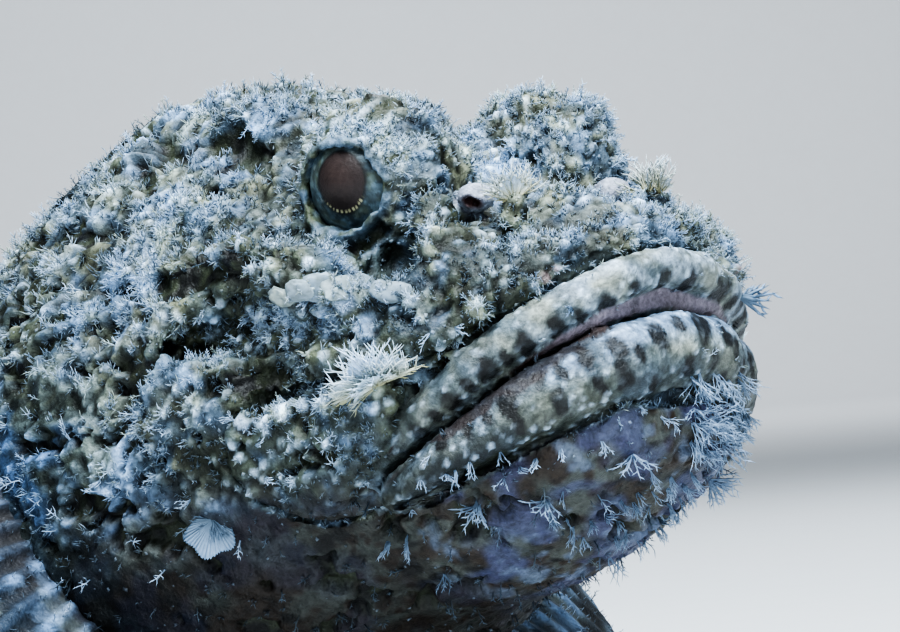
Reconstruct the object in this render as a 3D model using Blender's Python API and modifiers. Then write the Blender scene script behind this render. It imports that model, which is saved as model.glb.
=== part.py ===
"""False stonefish (devil scorpionfish), life size, resting on the sea floor with its head raised.

Metres, +Z up, +X towards the snout, +Y towards the fish's left side.
The origin is the middle of the flat under the belly on which the fish rests.
"""
import math

import bmesh
import bpy
import numpy as np
from mathutils import Matrix, Vector
from mathutils.bvhtree import BVHTree

MM = 0.001

# ---------------------------------------------------------------- driving dimensions (mm)
STANDARD_LENGTH = 200.0      # front of the upper lip to the end of the tail stock
SNOUT_X = 91.0               # front of the lips
TAIL_X = SNOUT_X - STANDARD_LENGTH
CAUDAL_LENGTH = 43.0         # tail fin
COAT = 1.1                   # depth of the skin flaps and filaments that stand over the skin
CUT = 0.3                    # width of the thin cuts between pieces
VOXEL = 1.2                  # size of the grid that joins the body's lofts and lobes
BODY_TRIANGLES = 2600

EYE_CENTRE = (57.3, -13.7, 68.4)
EYE_RADIUS = 7.6

# body sections: x, bottom, top, half width, height of the widest line, exponents above and below it
SECTIONS = [
    (87.0, 41.0, 55.5, 8.0, 49.0, 2.2, 2.2),
    (82.0, 31.5, 59.0, 15.0, 47.5, 2.2, 2.1),
    (76.0, 26.0, 62.0, 20.0, 46.0, 2.3, 2.1),
    (66.0, 22.5, 66.0, 24.5, 44.5, 2.3, 2.1),
    (56.0, 19.5, 70.5, 28.0, 43.0, 2.2, 2.1),
    (46.0, 14.5, 75.0, 31.0, 42.5, 1.9, 2.2),
    (34.0, 7.5, 79.6, 33.5, 42.0, 1.75, 2.3),
    (20.0, 1.8, 82.2, 34.0, 41.0, 1.65, 2.4),
    (5.0, -0.6, 77.0, 32.5, 39.0, 1.6, 2.5),
    (-10.0, -0.9, 70.2, 29.5, 36.5, 1.65, 2.4),
    (-25.0, -0.6, 62.6, 25.5, 34.0, 1.75, 2.3),
    (-40.0, 1.6, 55.2, 20.5, 31.5, 1.85, 2.2),
    (-55.0, 4.6, 47.6, 15.5, 29.0, 2.0, 2.1),
    (-70.0, 7.8, 40.6, 11.0, 26.0, 2.0, 2.0),
    (-84.0, 10.2, 35.2, 7.6, 24.0, 2.0, 2.0),
    (-96.0, 11.4, 32.6, 5.4, 22.6, 2.0, 2.0),
    (-108.0, 10.6, 34.0, 3.6, 22.4, 2.0, 2.0),
]
BEND_START, BEND_RATE = 16.0, 0.0021   # the rear body curves to the left: y += rate * distance^2

# right-hand lobes of the head: centre, radii, turn about Y in degrees. The left side mirrors them.
LOBES = {
    "orbit_mound": ((56.2, -12.0, 67.2), (11.4, 8.4, 8.8), 0),
    "brow_crest": ((55.6, -12.6, 73.3), (9.6, 6.0, 3.4), -4),
    "brow_front": ((60.3, -12.0, 69.4), (4.2, 5.0, 4.6), 0),
    "nape_crest": ((36.0, -9.0, 76.0), (9.0, 5.0, 3.6), 6),
    "lachrymal": ((72.0, -17.6, 56.4), (6.5, 6.0, 5.6), 20),
    "maxilla_blade": ((60.0, -26.0, 39.6), (12.5, 3.2, 6.2), -32),
    "cheek": ((39.0, -24.5, 45.0), (17.0, 9.6, 14.0), 0),
    "gill_cover": ((22.0, -25.0, 39.0), (17.0, 10.5, 20.0), 0),
    "pectoral_base": ((10.0, -26.5, 28.0), (9.0, 7.4, 18.0), 22),
}
MIDLINE_LOBES = {
    "snout_hump": ((75.5, 0.0, 60.4), (8.5, 7.5, 4.5), 10),
    "chin": ((74.0, 0.0, 37.6), (13.6, 12.6, 10.4), -18),
    "throat": ((60.0, 0.0, 33.0), (16.0, 16.5, 12.0), -14),
}
# right-hand ridges: points with a radius. The left side mirrors them; the lips join at the middle.
RIDGES = {
    "upper_lip": [(86.8, 0, 55.9, 2.3), (86.0, -6, 55.0, 2.3), (84.0, -11.8, 52.8, 2.3), (80.8, -16.2, 50.0, 2.3),
                  (76.2, -19.8, 46.3, 2.3), (70.6, -22.4, 41.5, 2.2), (65.4, -23.8, 35.8, 1.9)],
    "lower_lip": [(86.6, 0, 47.1, 4.3), (85.6, -6.2, 45.9, 4.3), (83.2, -11.4, 44.0, 4.2), (79.3, -15.9, 41.5, 3.9),
                  (73.8, -20.4, 37.7, 3.3), (66.8, -22.9, 33.8, 2.3)],
    "lip_base": [(84.4, 0, 39.6, 4.6), (82.8, -6.4, 38.8, 4.6), (79.2, -11.4, 37.2, 4.4), (73.8, -15.8, 34.6, 4.0)],
    "lachrymal_edge": [(83.4, 0, 58.6, 3.0), (82.6, -7, 58.2, 3.0), (80.4, -12.4, 56.4, 3.2), (77.0, -17.0, 54.2, 3.6),
                       (72.4, -21.0, 51.8, 4.0), (67.0, -23.8, 49.8, 3.8), (61.0, -26.0, 48.2, 3.0)],
    "cheek_ridge": [(70.5, -21.6, 55.0, 2.8), (65.0, -24.2, 55.4, 3.2), (57.5, -26.4, 57.8, 3.5), (49.0, -27.4, 59.6, 3.0),
                    (38.0, -26.6, 60.4, 2.0)],
    "nasal_column": [(69.0, -16.6, 63.2, 2.4), (69.4, -18.4, 59.4, 2.8), (70.4, -19.8, 55.6, 3.0)],
}
# hollows cut from both sides of the head: centre, radii
PITS = {
    "pit_before_eye": ((66.3, -21.6, 58.9), (4.8, 7.4, 3.7)),
    "orbit_opening": ((57.6, -23.4, 68.4), (8.3, 6.8, 7.7)),
}
OCCIPUT_PIT = ((42.0, 0.0, 82.0), (9.0, 8.0, 5.5))

# mouth, seen from the side: upper and lower edges of the gape from the corner forwards
GAPE_UPPER = [(65.6, 34.3), (70.0, 38.6), (76.0, 43.2), (81.5, 47.6), (84.0, 50.2), (86.0, 52.5), (88.0, 53.7), (91.0, 54.5),
              (100.0, 54.8)]
GAPE_LOWER = [(65.6, 34.0), (70.0, 37.7), (75.0, 41.0), (80.0, 44.5), (84.0, 47.4), (86.0, 49.3), (88.0, 50.8), (91.0, 51.6),
              (100.0, 51.9)]
JAW_BACK = [(65.6, 33.9), (61.0, 27.0), (57.0, 14.0), (56.0, -8.0)]
LIP_GROOVE = [(100.0, 59.6), (88.0, 59.0), (86.0, 57.9), (83.4, 55.2), (80.2, 52.5), (76.0, 49.2), (68.0, 47.2), (58.0, 46.0),
              (50.0, 43.6)]
MAXILLA_BACK = [(48.2, 38.4), (50.0, 34.0), (56.0, 31.2), (61.4, 31.8)]
PALATE = [(20.0, 24.4), (62.0, 21.6), (69.0, 18.8), (75.0, 15.4), (79.4, 11.0), (81.8, 6.0), (82.4, 0.0)]
GILL_EDGE = [(21.0, 120.0), (15.0, 78.0), (8.0, 62.0), (3.5, 48.0), (5.5, 34.0), (13.0, 20.0), (23.0, 9.0), (30.0, -20.0)]
TAIL_CUT_X = -52.0


def clear_scene():
    for obj in list(bpy.data.objects):
        bpy.data.objects.remove(obj, do_unlink=True)


def collection(name):
    made = bpy.data.collections.new(name)
    bpy.context.scene.collection.children.link(made)
    return made


def material(name, colour, roughness):
    made = bpy.data.materials.new(name)
    made.use_nodes = True
    shader = made.node_tree.nodes["Principled BSDF"]
    shader.inputs["Base Color"].default_value = (*colour, 1.0)
    shader.inputs["Roughness"].default_value = roughness
    shader.inputs["Metallic"].default_value = 0.0
    return made


def smooth(values, x):
    """Smooth interpolation of a table's columns at x (x falls down the table)."""
    table = np.array(values, float)[::-1]
    knots, columns = table[:, 0], table[:, 1:]
    slopes = np.gradient(columns, knots, axis=0)
    i = int(np.clip(np.searchsorted(knots, x) - 1, 0, len(knots) - 2))
    h = knots[i + 1] - knots[i]
    t = (x - knots[i]) / h
    a, b = 2 * t**3 - 3 * t**2 + 1, t**3 - 2 * t**2 + t
    c, d = -2 * t**3 + 3 * t**2, t**3 - t**2
    return a * columns[i] + b * h * slopes[i] + c * columns[i + 1] + d * h * slopes[i + 1]


def bent(p):
    """The rear body's curve to the left."""
    x, y, z = p
    d = max(0.0, BEND_START - x)
    return (x, y + BEND_RATE * d * d, z)


def mesh_object(name, bm, where):
    mesh = bpy.data.meshes.new(name)
    bm.to_mesh(mesh)
    bm.free()
    obj = bpy.data.objects.new(name, mesh)
    where.objects.link(obj)
    return obj


def body_loft(step=4.0, sides=40):
    """Loft through the body's sections, which change from round to keeled. Ends closed."""
    bm = bmesh.new()
    rings = []
    xs = np.linspace(SECTIONS[0][0], SECTIONS[-1][0], int((SECTIONS[0][0] - SECTIONS[-1][0]) / step) + 1)
    for x in xs:
        low, high, half, wide, above, below = smooth(SECTIONS, x)
        ring = []
        for k in range(sides):
            a = 2 * math.pi * k / sides
            c, s = math.cos(a), math.sin(a)
            power = above if s >= 0 else below
            y = half * math.copysign(abs(c) ** (2 / power), c)
            rise = (high - wide) if s >= 0 else (wide - low)
            z = wide + rise * math.copysign(abs(s) ** (2 / power), s)
            y += math.copysign(COAT, y) * abs(c)
            z += COAT * s * (1.0 if s > 0 else 0.3)
            ring.append(bm.verts.new(Vector((x, y, z)) * MM))
        rings.append(ring)
    for near, far in zip(rings, rings[1:]):
        for k in range(sides):
            bm.faces.new((near[k], near[(k + 1) % sides], far[(k + 1) % sides], far[k]))
    bm.faces.new(rings[0][::-1])
    bm.faces.new(rings[-1])
    bmesh.ops.recalc_face_normals(bm, faces=bm.faces)
    return bm


def add_lobe(bm, centre, radii, turn=0.0, grow=COAT):
    place = Matrix.Translation(Vector(centre) * MM) @ Matrix.Rotation(math.radians(turn), 4, "Y")
    size = Matrix.Diagonal([(r + grow) * MM for r in radii] + [1.0])
    bmesh.ops.create_uvsphere(bm, u_segments=24, v_segments=14, radius=1.0, matrix=place @ size)


def add_ridge(bm, points, grow):
    """A chain of balls and tapered rounds through the points."""
    for (ax, ay, az, ar), (bx, by, bz, br) in zip(points, points[1:]):
        start, end = Vector((ax, ay, az)), Vector((bx, by, bz))
        along = end - start
        turn = along.to_track_quat("Z", "Y").to_matrix().to_4x4()
        place = Matrix.Translation((start + end) / 2 * MM) @ turn
        bmesh.ops.create_cone(bm, cap_ends=True, segments=16, radius1=(ar + grow) * MM, radius2=(br + grow) * MM,
                              depth=along.length * MM, matrix=place)
    for x, y, z, r in points:
        bmesh.ops.create_uvsphere(bm, u_segments=16, v_segments=10, radius=(r + grow) * MM,
                                  matrix=Matrix.Translation(Vector((x, y, z)) * MM))


def mirrored(points):
    return [(p[0], -p[1], *p[2:]) for p in points]


def whole_body(where):
    """Body, lobes and ridges joined on a fine grid, smoothed and brought down to few faces."""
    bm = body_loft()
    for centre, radii, turn in LOBES.values():
        add_lobe(bm, centre, radii, turn)
        add_lobe(bm, (centre[0], -centre[1], centre[2]), radii, turn)
    for centre, radii, turn in MIDLINE_LOBES.values():
        add_lobe(bm, centre, radii, turn)
    for name, points in RIDGES.items():
        grow = 0.3 if "lip" in name else COAT
        add_ridge(bm, points, grow)
        add_ridge(bm, mirrored(points), grow)
    obj = mesh_object("whole_body", bm, where)
    remesh = obj.modifiers.new("join", "REMESH")
    remesh.mode = "VOXEL"
    remesh.voxel_size = VOXEL * MM
    even = obj.modifiers.new("even", "SMOOTH")
    even.factor, even.iterations = 0.5, 3
    return obj


def applied(obj, name, where):
    """A plain mesh object with what obj's modifiers make."""
    bpy.context.view_layer.update()
    mesh = bpy.data.meshes.new_from_object(obj.evaluated_get(bpy.context.evaluated_depsgraph_get()))
    made = bpy.data.objects.new(name, mesh)
    made.matrix_world = obj.matrix_world
    where.objects.link(made)
    return made


def prism(name, outline, axis, low, high, where, grow=0.0):
    """A straight-sided cutter: an outline in XZ run along Y, or in XY run along Z. grow moves its sides out."""
    pts = [Vector(p) for p in outline]
    area = sum(a.x * b.y - b.x * a.y for a, b in zip(pts, pts[1:] + pts[:1]))
    if area < 0:
        pts.reverse()
    if grow:
        moved = []
        for before, here, after in zip(pts[-1:] + pts[:-1], pts, pts[1:] + pts[:1]):
            e1, e2 = (here - before).normalized(), (after - here).normalized()
            n1, n2 = Vector((e1.y, -e1.x)), Vector((e2.y, -e2.x))
            mid = (n1 + n2)
            mid = mid.normalized() if mid.length > 1e-6 else n1
            moved.append(here + mid * grow / max(0.35, mid.dot(n1)))
        pts = moved
    bm = bmesh.new()
    to = (lambda p, w: Vector((p.x, w, p.y))) if axis == "Y" else (lambda p, w: Vector((p.x, p.y, w)))
    first = [bm.verts.new(to(p, low) * MM) for p in pts]
    face = bm.faces.new(first)
    out = bmesh.ops.extrude_face_region(bm, geom=[face])
    for v in out["geom"]:
        if isinstance(v, bmesh.types.BMVert):
            v.co += (Vector((0, high - low, 0)) if axis == "Y" else Vector((0, 0, high - low))) * MM
    bmesh.ops.recalc_face_normals(bm, faces=bm.faces)
    obj = mesh_object(name, bm, where)
    obj.hide_render = True
    obj.display_type = "WIRE"
    return obj


def boolean(obj, cutter, operation, where, name=None):
    modifier = obj.modifiers.new(operation.lower(), "BOOLEAN")
    modifier.operation = operation
    modifier.solver = "EXACT"
    modifier.object = cutter
    made = applied(obj, name or obj.name + "_part", where)
    bpy.data.objects.remove(obj)
    return made


def copy_of(obj, name, where):
    made = bpy.data.objects.new(name, obj.data.copy())
    made.matrix_world = obj.matrix_world
    where.objects.link(made)
    return made


def largest_island(obj):
    """Keeps the largest closed piece of obj, drops the crumbs that a cut leaves and welds its slivers."""
    bm = bmesh.new()
    bm.from_mesh(obj.data)
    bmesh.ops.remove_doubles(bm, verts=bm.verts, dist=1e-6)
    bm.verts.ensure_lookup_table()
    seen, groups = set(), []
    for start in bm.verts:
        if start in seen:
            continue
        stack, group = [start], []
        seen.add(start)
        while stack:
            v = stack.pop()
            group.append(v)
            for e in v.link_edges:
                o = e.other_vert(v)
                if o not in seen:
                    seen.add(o)
                    stack.append(o)
        groups.append(group)
    groups.sort(key=len, reverse=True)
    bmesh.ops.delete(bm, geom=[v for g in groups[1:] for v in g], context="VERTS")
    for weld in (0.0, 0.001, 0.005, 0.02, 0.05, 0.1):
        trial = bm.copy()
        if weld:
            bmesh.ops.remove_doubles(trial, verts=trial.verts, dist=weld * MM)
            bmesh.ops.dissolve_degenerate(trial, edges=trial.edges, dist=weld * MM)
            bmesh.ops.holes_fill(trial, edges=[e for e in trial.edges if e.is_boundary], sides=0)
            bmesh.ops.triangulate(trial, faces=[f for f in trial.faces if len(f.verts) > 4])
            bmesh.ops.recalc_face_normals(trial, faces=trial.faces)
        if all(e.is_manifold for e in trial.edges):
            bm.free()
            bm = trial
            break
        trial.free()
    bm.to_mesh(obj.data)
    bm.free()


def floor_cut(obj):
    """Everything below the floor level is cut off flat."""
    bm = bmesh.new()
    bm.from_mesh(obj.data)
    if min(v.co.z for v in bm.verts) < 0:
        geom = list(bm.verts) + list(bm.edges) + list(bm.faces)
        cut = bmesh.ops.bisect_plane(bm, geom=geom, dist=1e-7, plane_co=(0, 0, 0), plane_no=(0, 0, -1), clear_outer=True)
        edges = [e for e in cut["geom_cut"] if isinstance(e, bmesh.types.BMEdge)]
        bmesh.ops.holes_fill(bm, edges=edges, sides=0)
        bmesh.ops.triangulate(bm, faces=[f for f in bm.faces if len(f.verts) > 4])
        bmesh.ops.recalc_face_normals(bm, faces=bm.faces)
    bm.to_mesh(obj.data)
    bm.free()


# ---------------------------------------------------------------- fins
def fan(name, rays, notch, where, rows=7, thick=1.7, thin=0.75, bow=None):
    """A fin: rays from base to tip, with thin membrane between them that is notched at the edge.
    rays is a list of (base, tip) points in mm; notch is the share of the height lost between two rays."""
    bm = bmesh.new()
    columns = []
    for i, (base, tip) in enumerate(rays):
        columns.append((Vector(base), Vector(tip), 1.0, 1.0))
        if i + 1 < len(rays):
            b2, t2 = rays[i + 1]
            columns.append(((Vector(base) + Vector(b2)) / 2, (Vector(tip) + Vector(t2)) / 2, 1.0 - notch, 0.0))
    grid = []
    for base, tip, reach, ray in columns:
        line = []
        for r in range(rows):
            t = r / (rows - 1) * reach
            p = base.lerp(tip, t)
            if bow:
                p = p + bow(base, tip, t)
            line.append((bm.verts.new(Vector(bent(p)) * MM), ray * (1 - 0.55 * t)))
        grid.append(line)
    for a, b in zip(grid, grid[1:]):
        for r in range(rows - 1):
            bm.faces.new((a[r][0], a[r + 1][0], b[r + 1][0], b[r][0]))
    weights = [w for line in grid for _, w in line]
    bmesh.ops.recalc_face_normals(bm, faces=bm.faces)
    obj = mesh_object(name, bm, where)
    group = obj.vertex_groups.new(name="ray")
    for i, w in enumerate(weights):
        group.add([i], w, "REPLACE")
    solid = obj.modifiers.new("thickness", "SOLIDIFY")
    solid.thickness = thick * MM
    solid.offset = 0.0
    solid.vertex_group = "ray"
    solid.thickness_vertex_group = thin / thick
    return obj


def lerp3(a, b, t):
    return tuple(x + (y - x) * t for x, y in zip(a, b))


def back_line(x):
    return float(smooth(SECTIONS, x)[1])


def belly_line(x):
    return float(smooth(SECTIONS, x)[0])


SPINES = 12
SPINE_LENGTHS = [13, 19, 23, 24, 23.5, 22, 20, 18, 15.5, 13, 11, 10.5]
SPINE_START, SPINE_STEP, SPINE_LEAN = 14.0, 5.3, 9.0


def spiny_rays():
    """Dorsal spines, leaning back and partly folded."""
    rays = []
    for i, length in enumerate(SPINE_LENGTHS):
        x = SPINE_START - SPINE_STEP * i
        lean = math.radians(SPINE_LEAN + 0.9 * i)
        slope = math.atan2(back_line(x) - back_line(x - 10), 10)
        a = lean - slope
        base = (x, 0.0, back_line(x) - 1.6)
        rays.append((base, (x - (length + 3) * math.cos(a), 0.0, base[2] + 2.2 + (length + 3) * math.sin(a))))
    return rays


def soft_rays():
    rays = []
    for i in range(9):
        x = SPINE_START - SPINE_STEP * 12 - 9.6 - 3.3 * i
        length = 22 - 1.1 * i
        a = math.radians(24 - 2.0 * i)
        base = (x, 0.0, back_line(x) - 2.5)
        rays.append((base, (x - length * math.cos(a), 0.0, base[2] + length * math.sin(a))))
    return rays


def anal_rays():
    rays = []
    lengths = [8, 13, 14, 20, 21, 20, 18, 15]
    for i, length in enumerate(lengths):
        x = -40.0 - 4.4 * i
        a = math.radians(16 + 1.0 * i)
        base = (x, 0.0, belly_line(x) + 2.6)
        rays.append((base, (x - length * math.cos(a), 0.0, max(-0.6, base[2] - length * math.sin(a)))))
    return rays


def caudal_rays():
    rays = []
    n = 13
    for i in range(n):
        u = i / (n - 1) * 2 - 1
        a = math.radians(24 * u)
        base = (TAIL_X + 5.0 - 1.5 * (1 - abs(u)), 0.0, 22.3 + 9.6 * u)
        length = CAUDAL_LENGTH + 4.0 - 4.0 * u * u
        rays.append((base, (base[0] - length * math.cos(a), 0.0, max(-0.5, base[2] + length * math.sin(a)))))
    return rays


PECTORAL_RAYS = 17


def pectoral_rays(side):
    """A broad fan held out from the side: upper rays run out and back, lower rays are thick fingers that
    reach forwards and prop the fish on the floor. The left fan is held further back."""
    sweep = 70 if side > 0 else 108
    rays = []
    for i in range(PECTORAL_RAYS):
        t = i / (PECTORAL_RAYS - 1)
        base = lerp3((10.0, -32.0, 47.0), (24.0, -22.0, 11.0), t)
        azimuth = math.radians(222 + sweep * t ** 0.9)
        drop = math.radians(14 + 24 * t)
        length = 50 + 4 * math.sin(math.pi * t) - 20 * t ** 2
        d = (math.cos(azimuth) * math.cos(drop), math.sin(azimuth) * math.cos(drop), -math.sin(drop))
        if base[2] + length * d[2] < -0.4:
            length = (base[2] + 0.4) / -d[2]
        tip = [b + length * k for b, k in zip(base, d)]
        rays.append(((base[0], -side * base[1], base[2]), (tip[0], -side * tip[1], tip[2])))
    return rays


def pelvic_rays(side):
    rays = []
    for i, length in enumerate((20, 25, 28, 29, 27, 23)):
        t = i / 5
        base = lerp3((20.0, -12.0, 2.6), (17.0, -7.5, 2.4), t)
        a = math.radians(222 - 30 * t)
        tip = (base[0] + length * math.cos(a), base[1] + length * math.sin(a), 0.2)
        rays.append(((base[0], -side * base[1], base[2]), (tip[0], -side * tip[1], tip[2])))
    return rays


def bow_back(base, tip, t):
    """Soft rays bend back a little towards their tips."""
    return Vector((-3.0 * t * t, 0.0, -1.2 * t * t))


def bow_up(base, tip, t):
    """Folded spines leave the back steeply, then lie along it."""
    return Vector((0.0, 0.0, 2.6 * math.sin(math.pi * min(1.0, t * 1.25))))


def bow_down(side):
    def bow(base, tip, t):
        return Vector((0.0, 0.0, 5.0 * math.sin(math.pi * t)))
    return bow


# ---------------------------------------------------------------- skin flaps
# right-hand flaps: a point near the root, the way it points, the way its flat faces,
# length, spread and number of fingers. The left side mirrors them.
FLAPS = {
    "nostril_flap": ((75.6, -10.8, 62.0), (0.1, -0.2, 1.0), (1.0, -0.1, 0.0), 5.6, 5.2, 4),
    "cheek_tassel": ((70.4, -25.0, 45.6), (0.05, -0.84, 0.54), (0.66, -0.45, -0.6), 7.2, 9.0, 5),
    "lip_tassel": ((83.6, -14.6, 52.6), (0.45, -0.85, 0.2), (0.3, 0.1, 1.0), 4.2, 3.8, 4),
    "gill_flap": ((46.0, -31.0, 31.8), (0.15, -0.6, -0.8), (0.6, -0.7, 0.5), 5.0, 5.0, 5),
    "chin_tassel_front": ((86.0, -7.0, 36.5), (0.6, -0.45, -0.65), (0.4, -0.4, 0.8), 4.6, 3.4, 3),
    "chin_tassel_side": ((79.0, -13.0, 32.0), (0.35, -0.65, -0.65), (0.5, -0.3, 0.8), 4.6, 3.4, 3),
    "jaw_tassel": ((74.0, -19.0, 32.0), (0.1, -0.75, -0.65), (0.6, -0.3, 0.7), 4.2, 3.2, 3),
}


def flap(name, root, way, up, length, spread, fingers, where, thick=0.9):
    """A fleshy flap with a finger-like fringe: a flat outline with thickness."""
    outline = [(-0.10 * spread, 0.0), (0.10 * spread, 0.0), (0.16 * spread, 0.25 * length)]
    for i in range(fingers):
        u = 0.5 - i / (fingers - 1)
        reach = length * (1.0 - 0.55 * u * u)
        outline.append((u * spread, reach))
        if i + 1 < fingers:
            v = 0.5 - (i + 0.5) / (fingers - 1)
            outline.append((v * spread * 0.86, reach * 0.60))
    outline.append((-0.16 * spread, 0.25 * length))
    curve = bpy.data.curves.new(name + "_line", "CURVE")
    curve.dimensions = "2D"
    curve.fill_mode = "BOTH"
    curve.extrude = thick / 2 * MM
    line = curve.splines.new("POLY")
    line.points.add(len(outline) - 1)
    for point, (a, b) in zip(line.points, outline):
        point.co = (a * MM, b * MM, 0, 1)
    line.use_cyclic_u = True
    obj = bpy.data.objects.new(name + "_line", curve)
    along = Vector(way).normalized()
    across = Vector(up).cross(along).normalized()
    turn = Matrix((across, along, across.cross(along))).transposed().to_4x4()
    obj.matrix_world = Matrix.Translation(Vector(root) * MM) @ turn
    where.objects.link(obj)
    bpy.context.view_layer.update()
    mesh = bpy.data.meshes.new_from_object(obj.evaluated_get(bpy.context.evaluated_depsgraph_get()))
    mesh.transform(obj.matrix_world)
    bpy.data.objects.remove(obj)
    bm = bmesh.new()
    bm.from_mesh(mesh)
    bmesh.ops.remove_doubles(bm, verts=bm.verts, dist=1e-6)
    bmesh.ops.triangulate(bm, faces=bm.faces)
    bmesh.ops.recalc_face_normals(bm, faces=bm.faces)
    if bm.calc_volume(signed=True) < 0:
        bmesh.ops.reverse_faces(bm, faces=bm.faces)
    return mesh_object(name, bm, where)


def lift_clear(obj, ray, trees):
    """Moves a flap out along its own direction until it stands clear of the head by the thin gap."""
    faces = [tuple(f.vertices) for f in obj.data.polygons]
    for _ in range(60):
        points = [v.co / MM for v in obj.data.vertices]
        own = BVHTree.FromPolygons(points, faces)
        if all(not tree.overlap(own) and min(tree.find_nearest(p)[3] for p in points) > CUT for tree in trees):
            return
        for v in obj.data.vertices:
            v.co += ray * 0.1 * MM


def sides():
    return (("right", -1), ("left", 1))


def main():
    clear_scene()
    fish = collection("false_stonefish")
    cutters = collection("cutters")
    cutters.hide_render = True

    skin = material("mottled_skin", (0.42, 0.43, 0.42), 0.75)
    lips = material("pale_lips", (0.62, 0.60, 0.52), 0.6)
    fins = material("fin_membrane", (0.36, 0.38, 0.38), 0.7)
    eyes = material("eye", (0.10, 0.06, 0.05), 0.15)
    flaps = material("skin_flap", (0.66, 0.68, 0.66), 0.6)

    raw = whole_body(cutters)
    fine = applied(raw, "joined", cutters)
    bpy.data.objects.remove(raw)
    for key, (centre, radii) in PITS.items():
        for s in (1, -1):
            bm = bmesh.new()
            add_lobe(bm, (centre[0], s * centre[1], centre[2]), radii, grow=0.0)
            fine = boolean(fine, mesh_object(key + "_cutter", bm, cutters), "DIFFERENCE", cutters, "joined")
    bm = bmesh.new()
    add_lobe(bm, OCCIPUT_PIT[0], OCCIPUT_PIT[1], grow=0.0)
    fine = boolean(fine, mesh_object("occiput_cutter", bm, cutters), "DIFFERENCE", cutters, "joined")
    for v in fine.data.vertices:
        v.co = Vector(bent(v.co / MM)) * MM
    fewer = fine.modifiers.new("fewer", "DECIMATE")
    fewer.ratio = BODY_TRIANGLES / (2 * len(fine.data.polygons))
    body = applied(fine, "body", cutters)
    bpy.data.objects.remove(fine)
    floor_cut(body)

    # eyes: a ball in a socket
    for name, s in sides():
        centre = Vector((EYE_CENTRE[0], -s * EYE_CENTRE[1], EYE_CENTRE[2])) * MM
        bm = bmesh.new()
        bmesh.ops.create_icosphere(bm, subdivisions=3, radius=(EYE_RADIUS + CUT) * MM, matrix=Matrix.Translation(centre))
        body = boolean(body, mesh_object("socket_" + name, bm, cutters), "DIFFERENCE", cutters, "body")
        bm = bmesh.new()
        bmesh.ops.create_icosphere(bm, subdivisions=3, radius=EYE_RADIUS * MM)
        eye = mesh_object("eye_" + name, bm, fish)
        eye.location = centre
        eye.data.materials.append(eyes)

    # jaws, head, trunk and tail stock parted by thin cuts
    jaw_line = GAPE_LOWER[::-1] + JAW_BACK[1:] + [(140.0, -8.0), (140.0, 50.8)]
    lip_line = GAPE_UPPER[::-1] + MAXILLA_BACK[::-1] + LIP_GROOVE[::-1]
    gape = GAPE_LOWER + GAPE_UPPER[::-1]
    palate = PALATE + [(x, -y) for x, y in PALATE[::-1][1:]]

    def region(grow):
        lower = prism("jaw_cutter", jaw_line, "Y", -60, 60, cutters, grow)
        upper = prism("lip_cutter", lip_line, "Y", -60, 60, cutters, grow)
        inner = prism("palate_cutter", palate, "Z", -20, 120, cutters, -grow)
        return lower, boolean(upper, inner, "DIFFERENCE", cutters, "lip_cutter")

    lower, upper = region(0.0)
    pieces = {}
    pieces["lower_jaw"] = boolean(copy_of(body, "lower_jaw", cutters), lower, "INTERSECT", cutters, "lower_jaw")
    pieces["upper_jaw"] = boolean(copy_of(body, "upper_jaw", cutters), upper, "INTERSECT", cutters, "upper_jaw")
    lower, upper = region(CUT)
    body = boolean(body, lower, "DIFFERENCE", cutters, "body")
    body = boolean(body, upper, "DIFFERENCE", cutters, "body")
    body = boolean(body, prism("gape_cutter", gape, "Y", -60, 60, cutters), "DIFFERENCE", cutters, "body")

    ahead = GILL_EDGE + [(140.0, -20.0), (140.0, 120.0)]
    pieces["head"] = boolean(copy_of(body, "head", cutters), prism("gill_cutter", ahead, "Y", -60, 60, cutters),
                             "INTERSECT", cutters, "head")
    body = boolean(body, prism("gill_cutter", ahead, "Y", -60, 60, cutters, CUT), "DIFFERENCE", cutters, "body")
    behind = [(TAIL_CUT_X, -20), (TAIL_CUT_X, 120), (-200, 120), (-200, -20)]
    pieces["tail_stock"] = boolean(copy_of(body, "tail", cutters), prism("tail_cutter", behind, "Y", -60, 90, cutters),
                                   "INTERSECT", cutters, "tail_stock")
    pieces["trunk"] = boolean(body, prism("tail_cutter", behind, "Y", -60, 90, cutters, CUT), "DIFFERENCE", cutters, "trunk")

    for name, obj in pieces.items():
        largest_island(obj)
        obj.name = name
        cutters.objects.unlink(obj)
        fish.objects.link(obj)
        obj.data.materials.clear()
        obj.data.materials.append(lips if "jaw" in name else skin)

    # fins and flaps, each cut back from its neighbours by the thin gap
    def clear_of(flat, name, against, colour):
        for other in against:
            bm = bmesh.new()
            bm.from_mesh(pieces[other].data)
            bm.normal_update()
            for v in bm.verts:
                v.co += v.normal * (CUT + 0.1) * MM
            flat = boolean(flat, mesh_object("near_" + other, bm, cutters), "DIFFERENCE", cutters, name + "_flat")
        floor_cut(flat)
        largest_island(flat)
        flat.name = name
        cutters.objects.unlink(flat)
        fish.objects.link(flat)
        flat.data.materials.clear()
        flat.data.materials.append(colour)
        pieces[name] = flat

    def fin(name, rays, notch, against, bow=None, rows=3, thick=1.7, thin=0.75):
        obj = fan(name, rays, notch, cutters, rows=rows, bow=bow, thick=thick, thin=thin)
        flat = applied(obj, name + "_flat", cutters)
        bpy.data.objects.remove(obj)
        clear_of(flat, name, against, fins)

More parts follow.
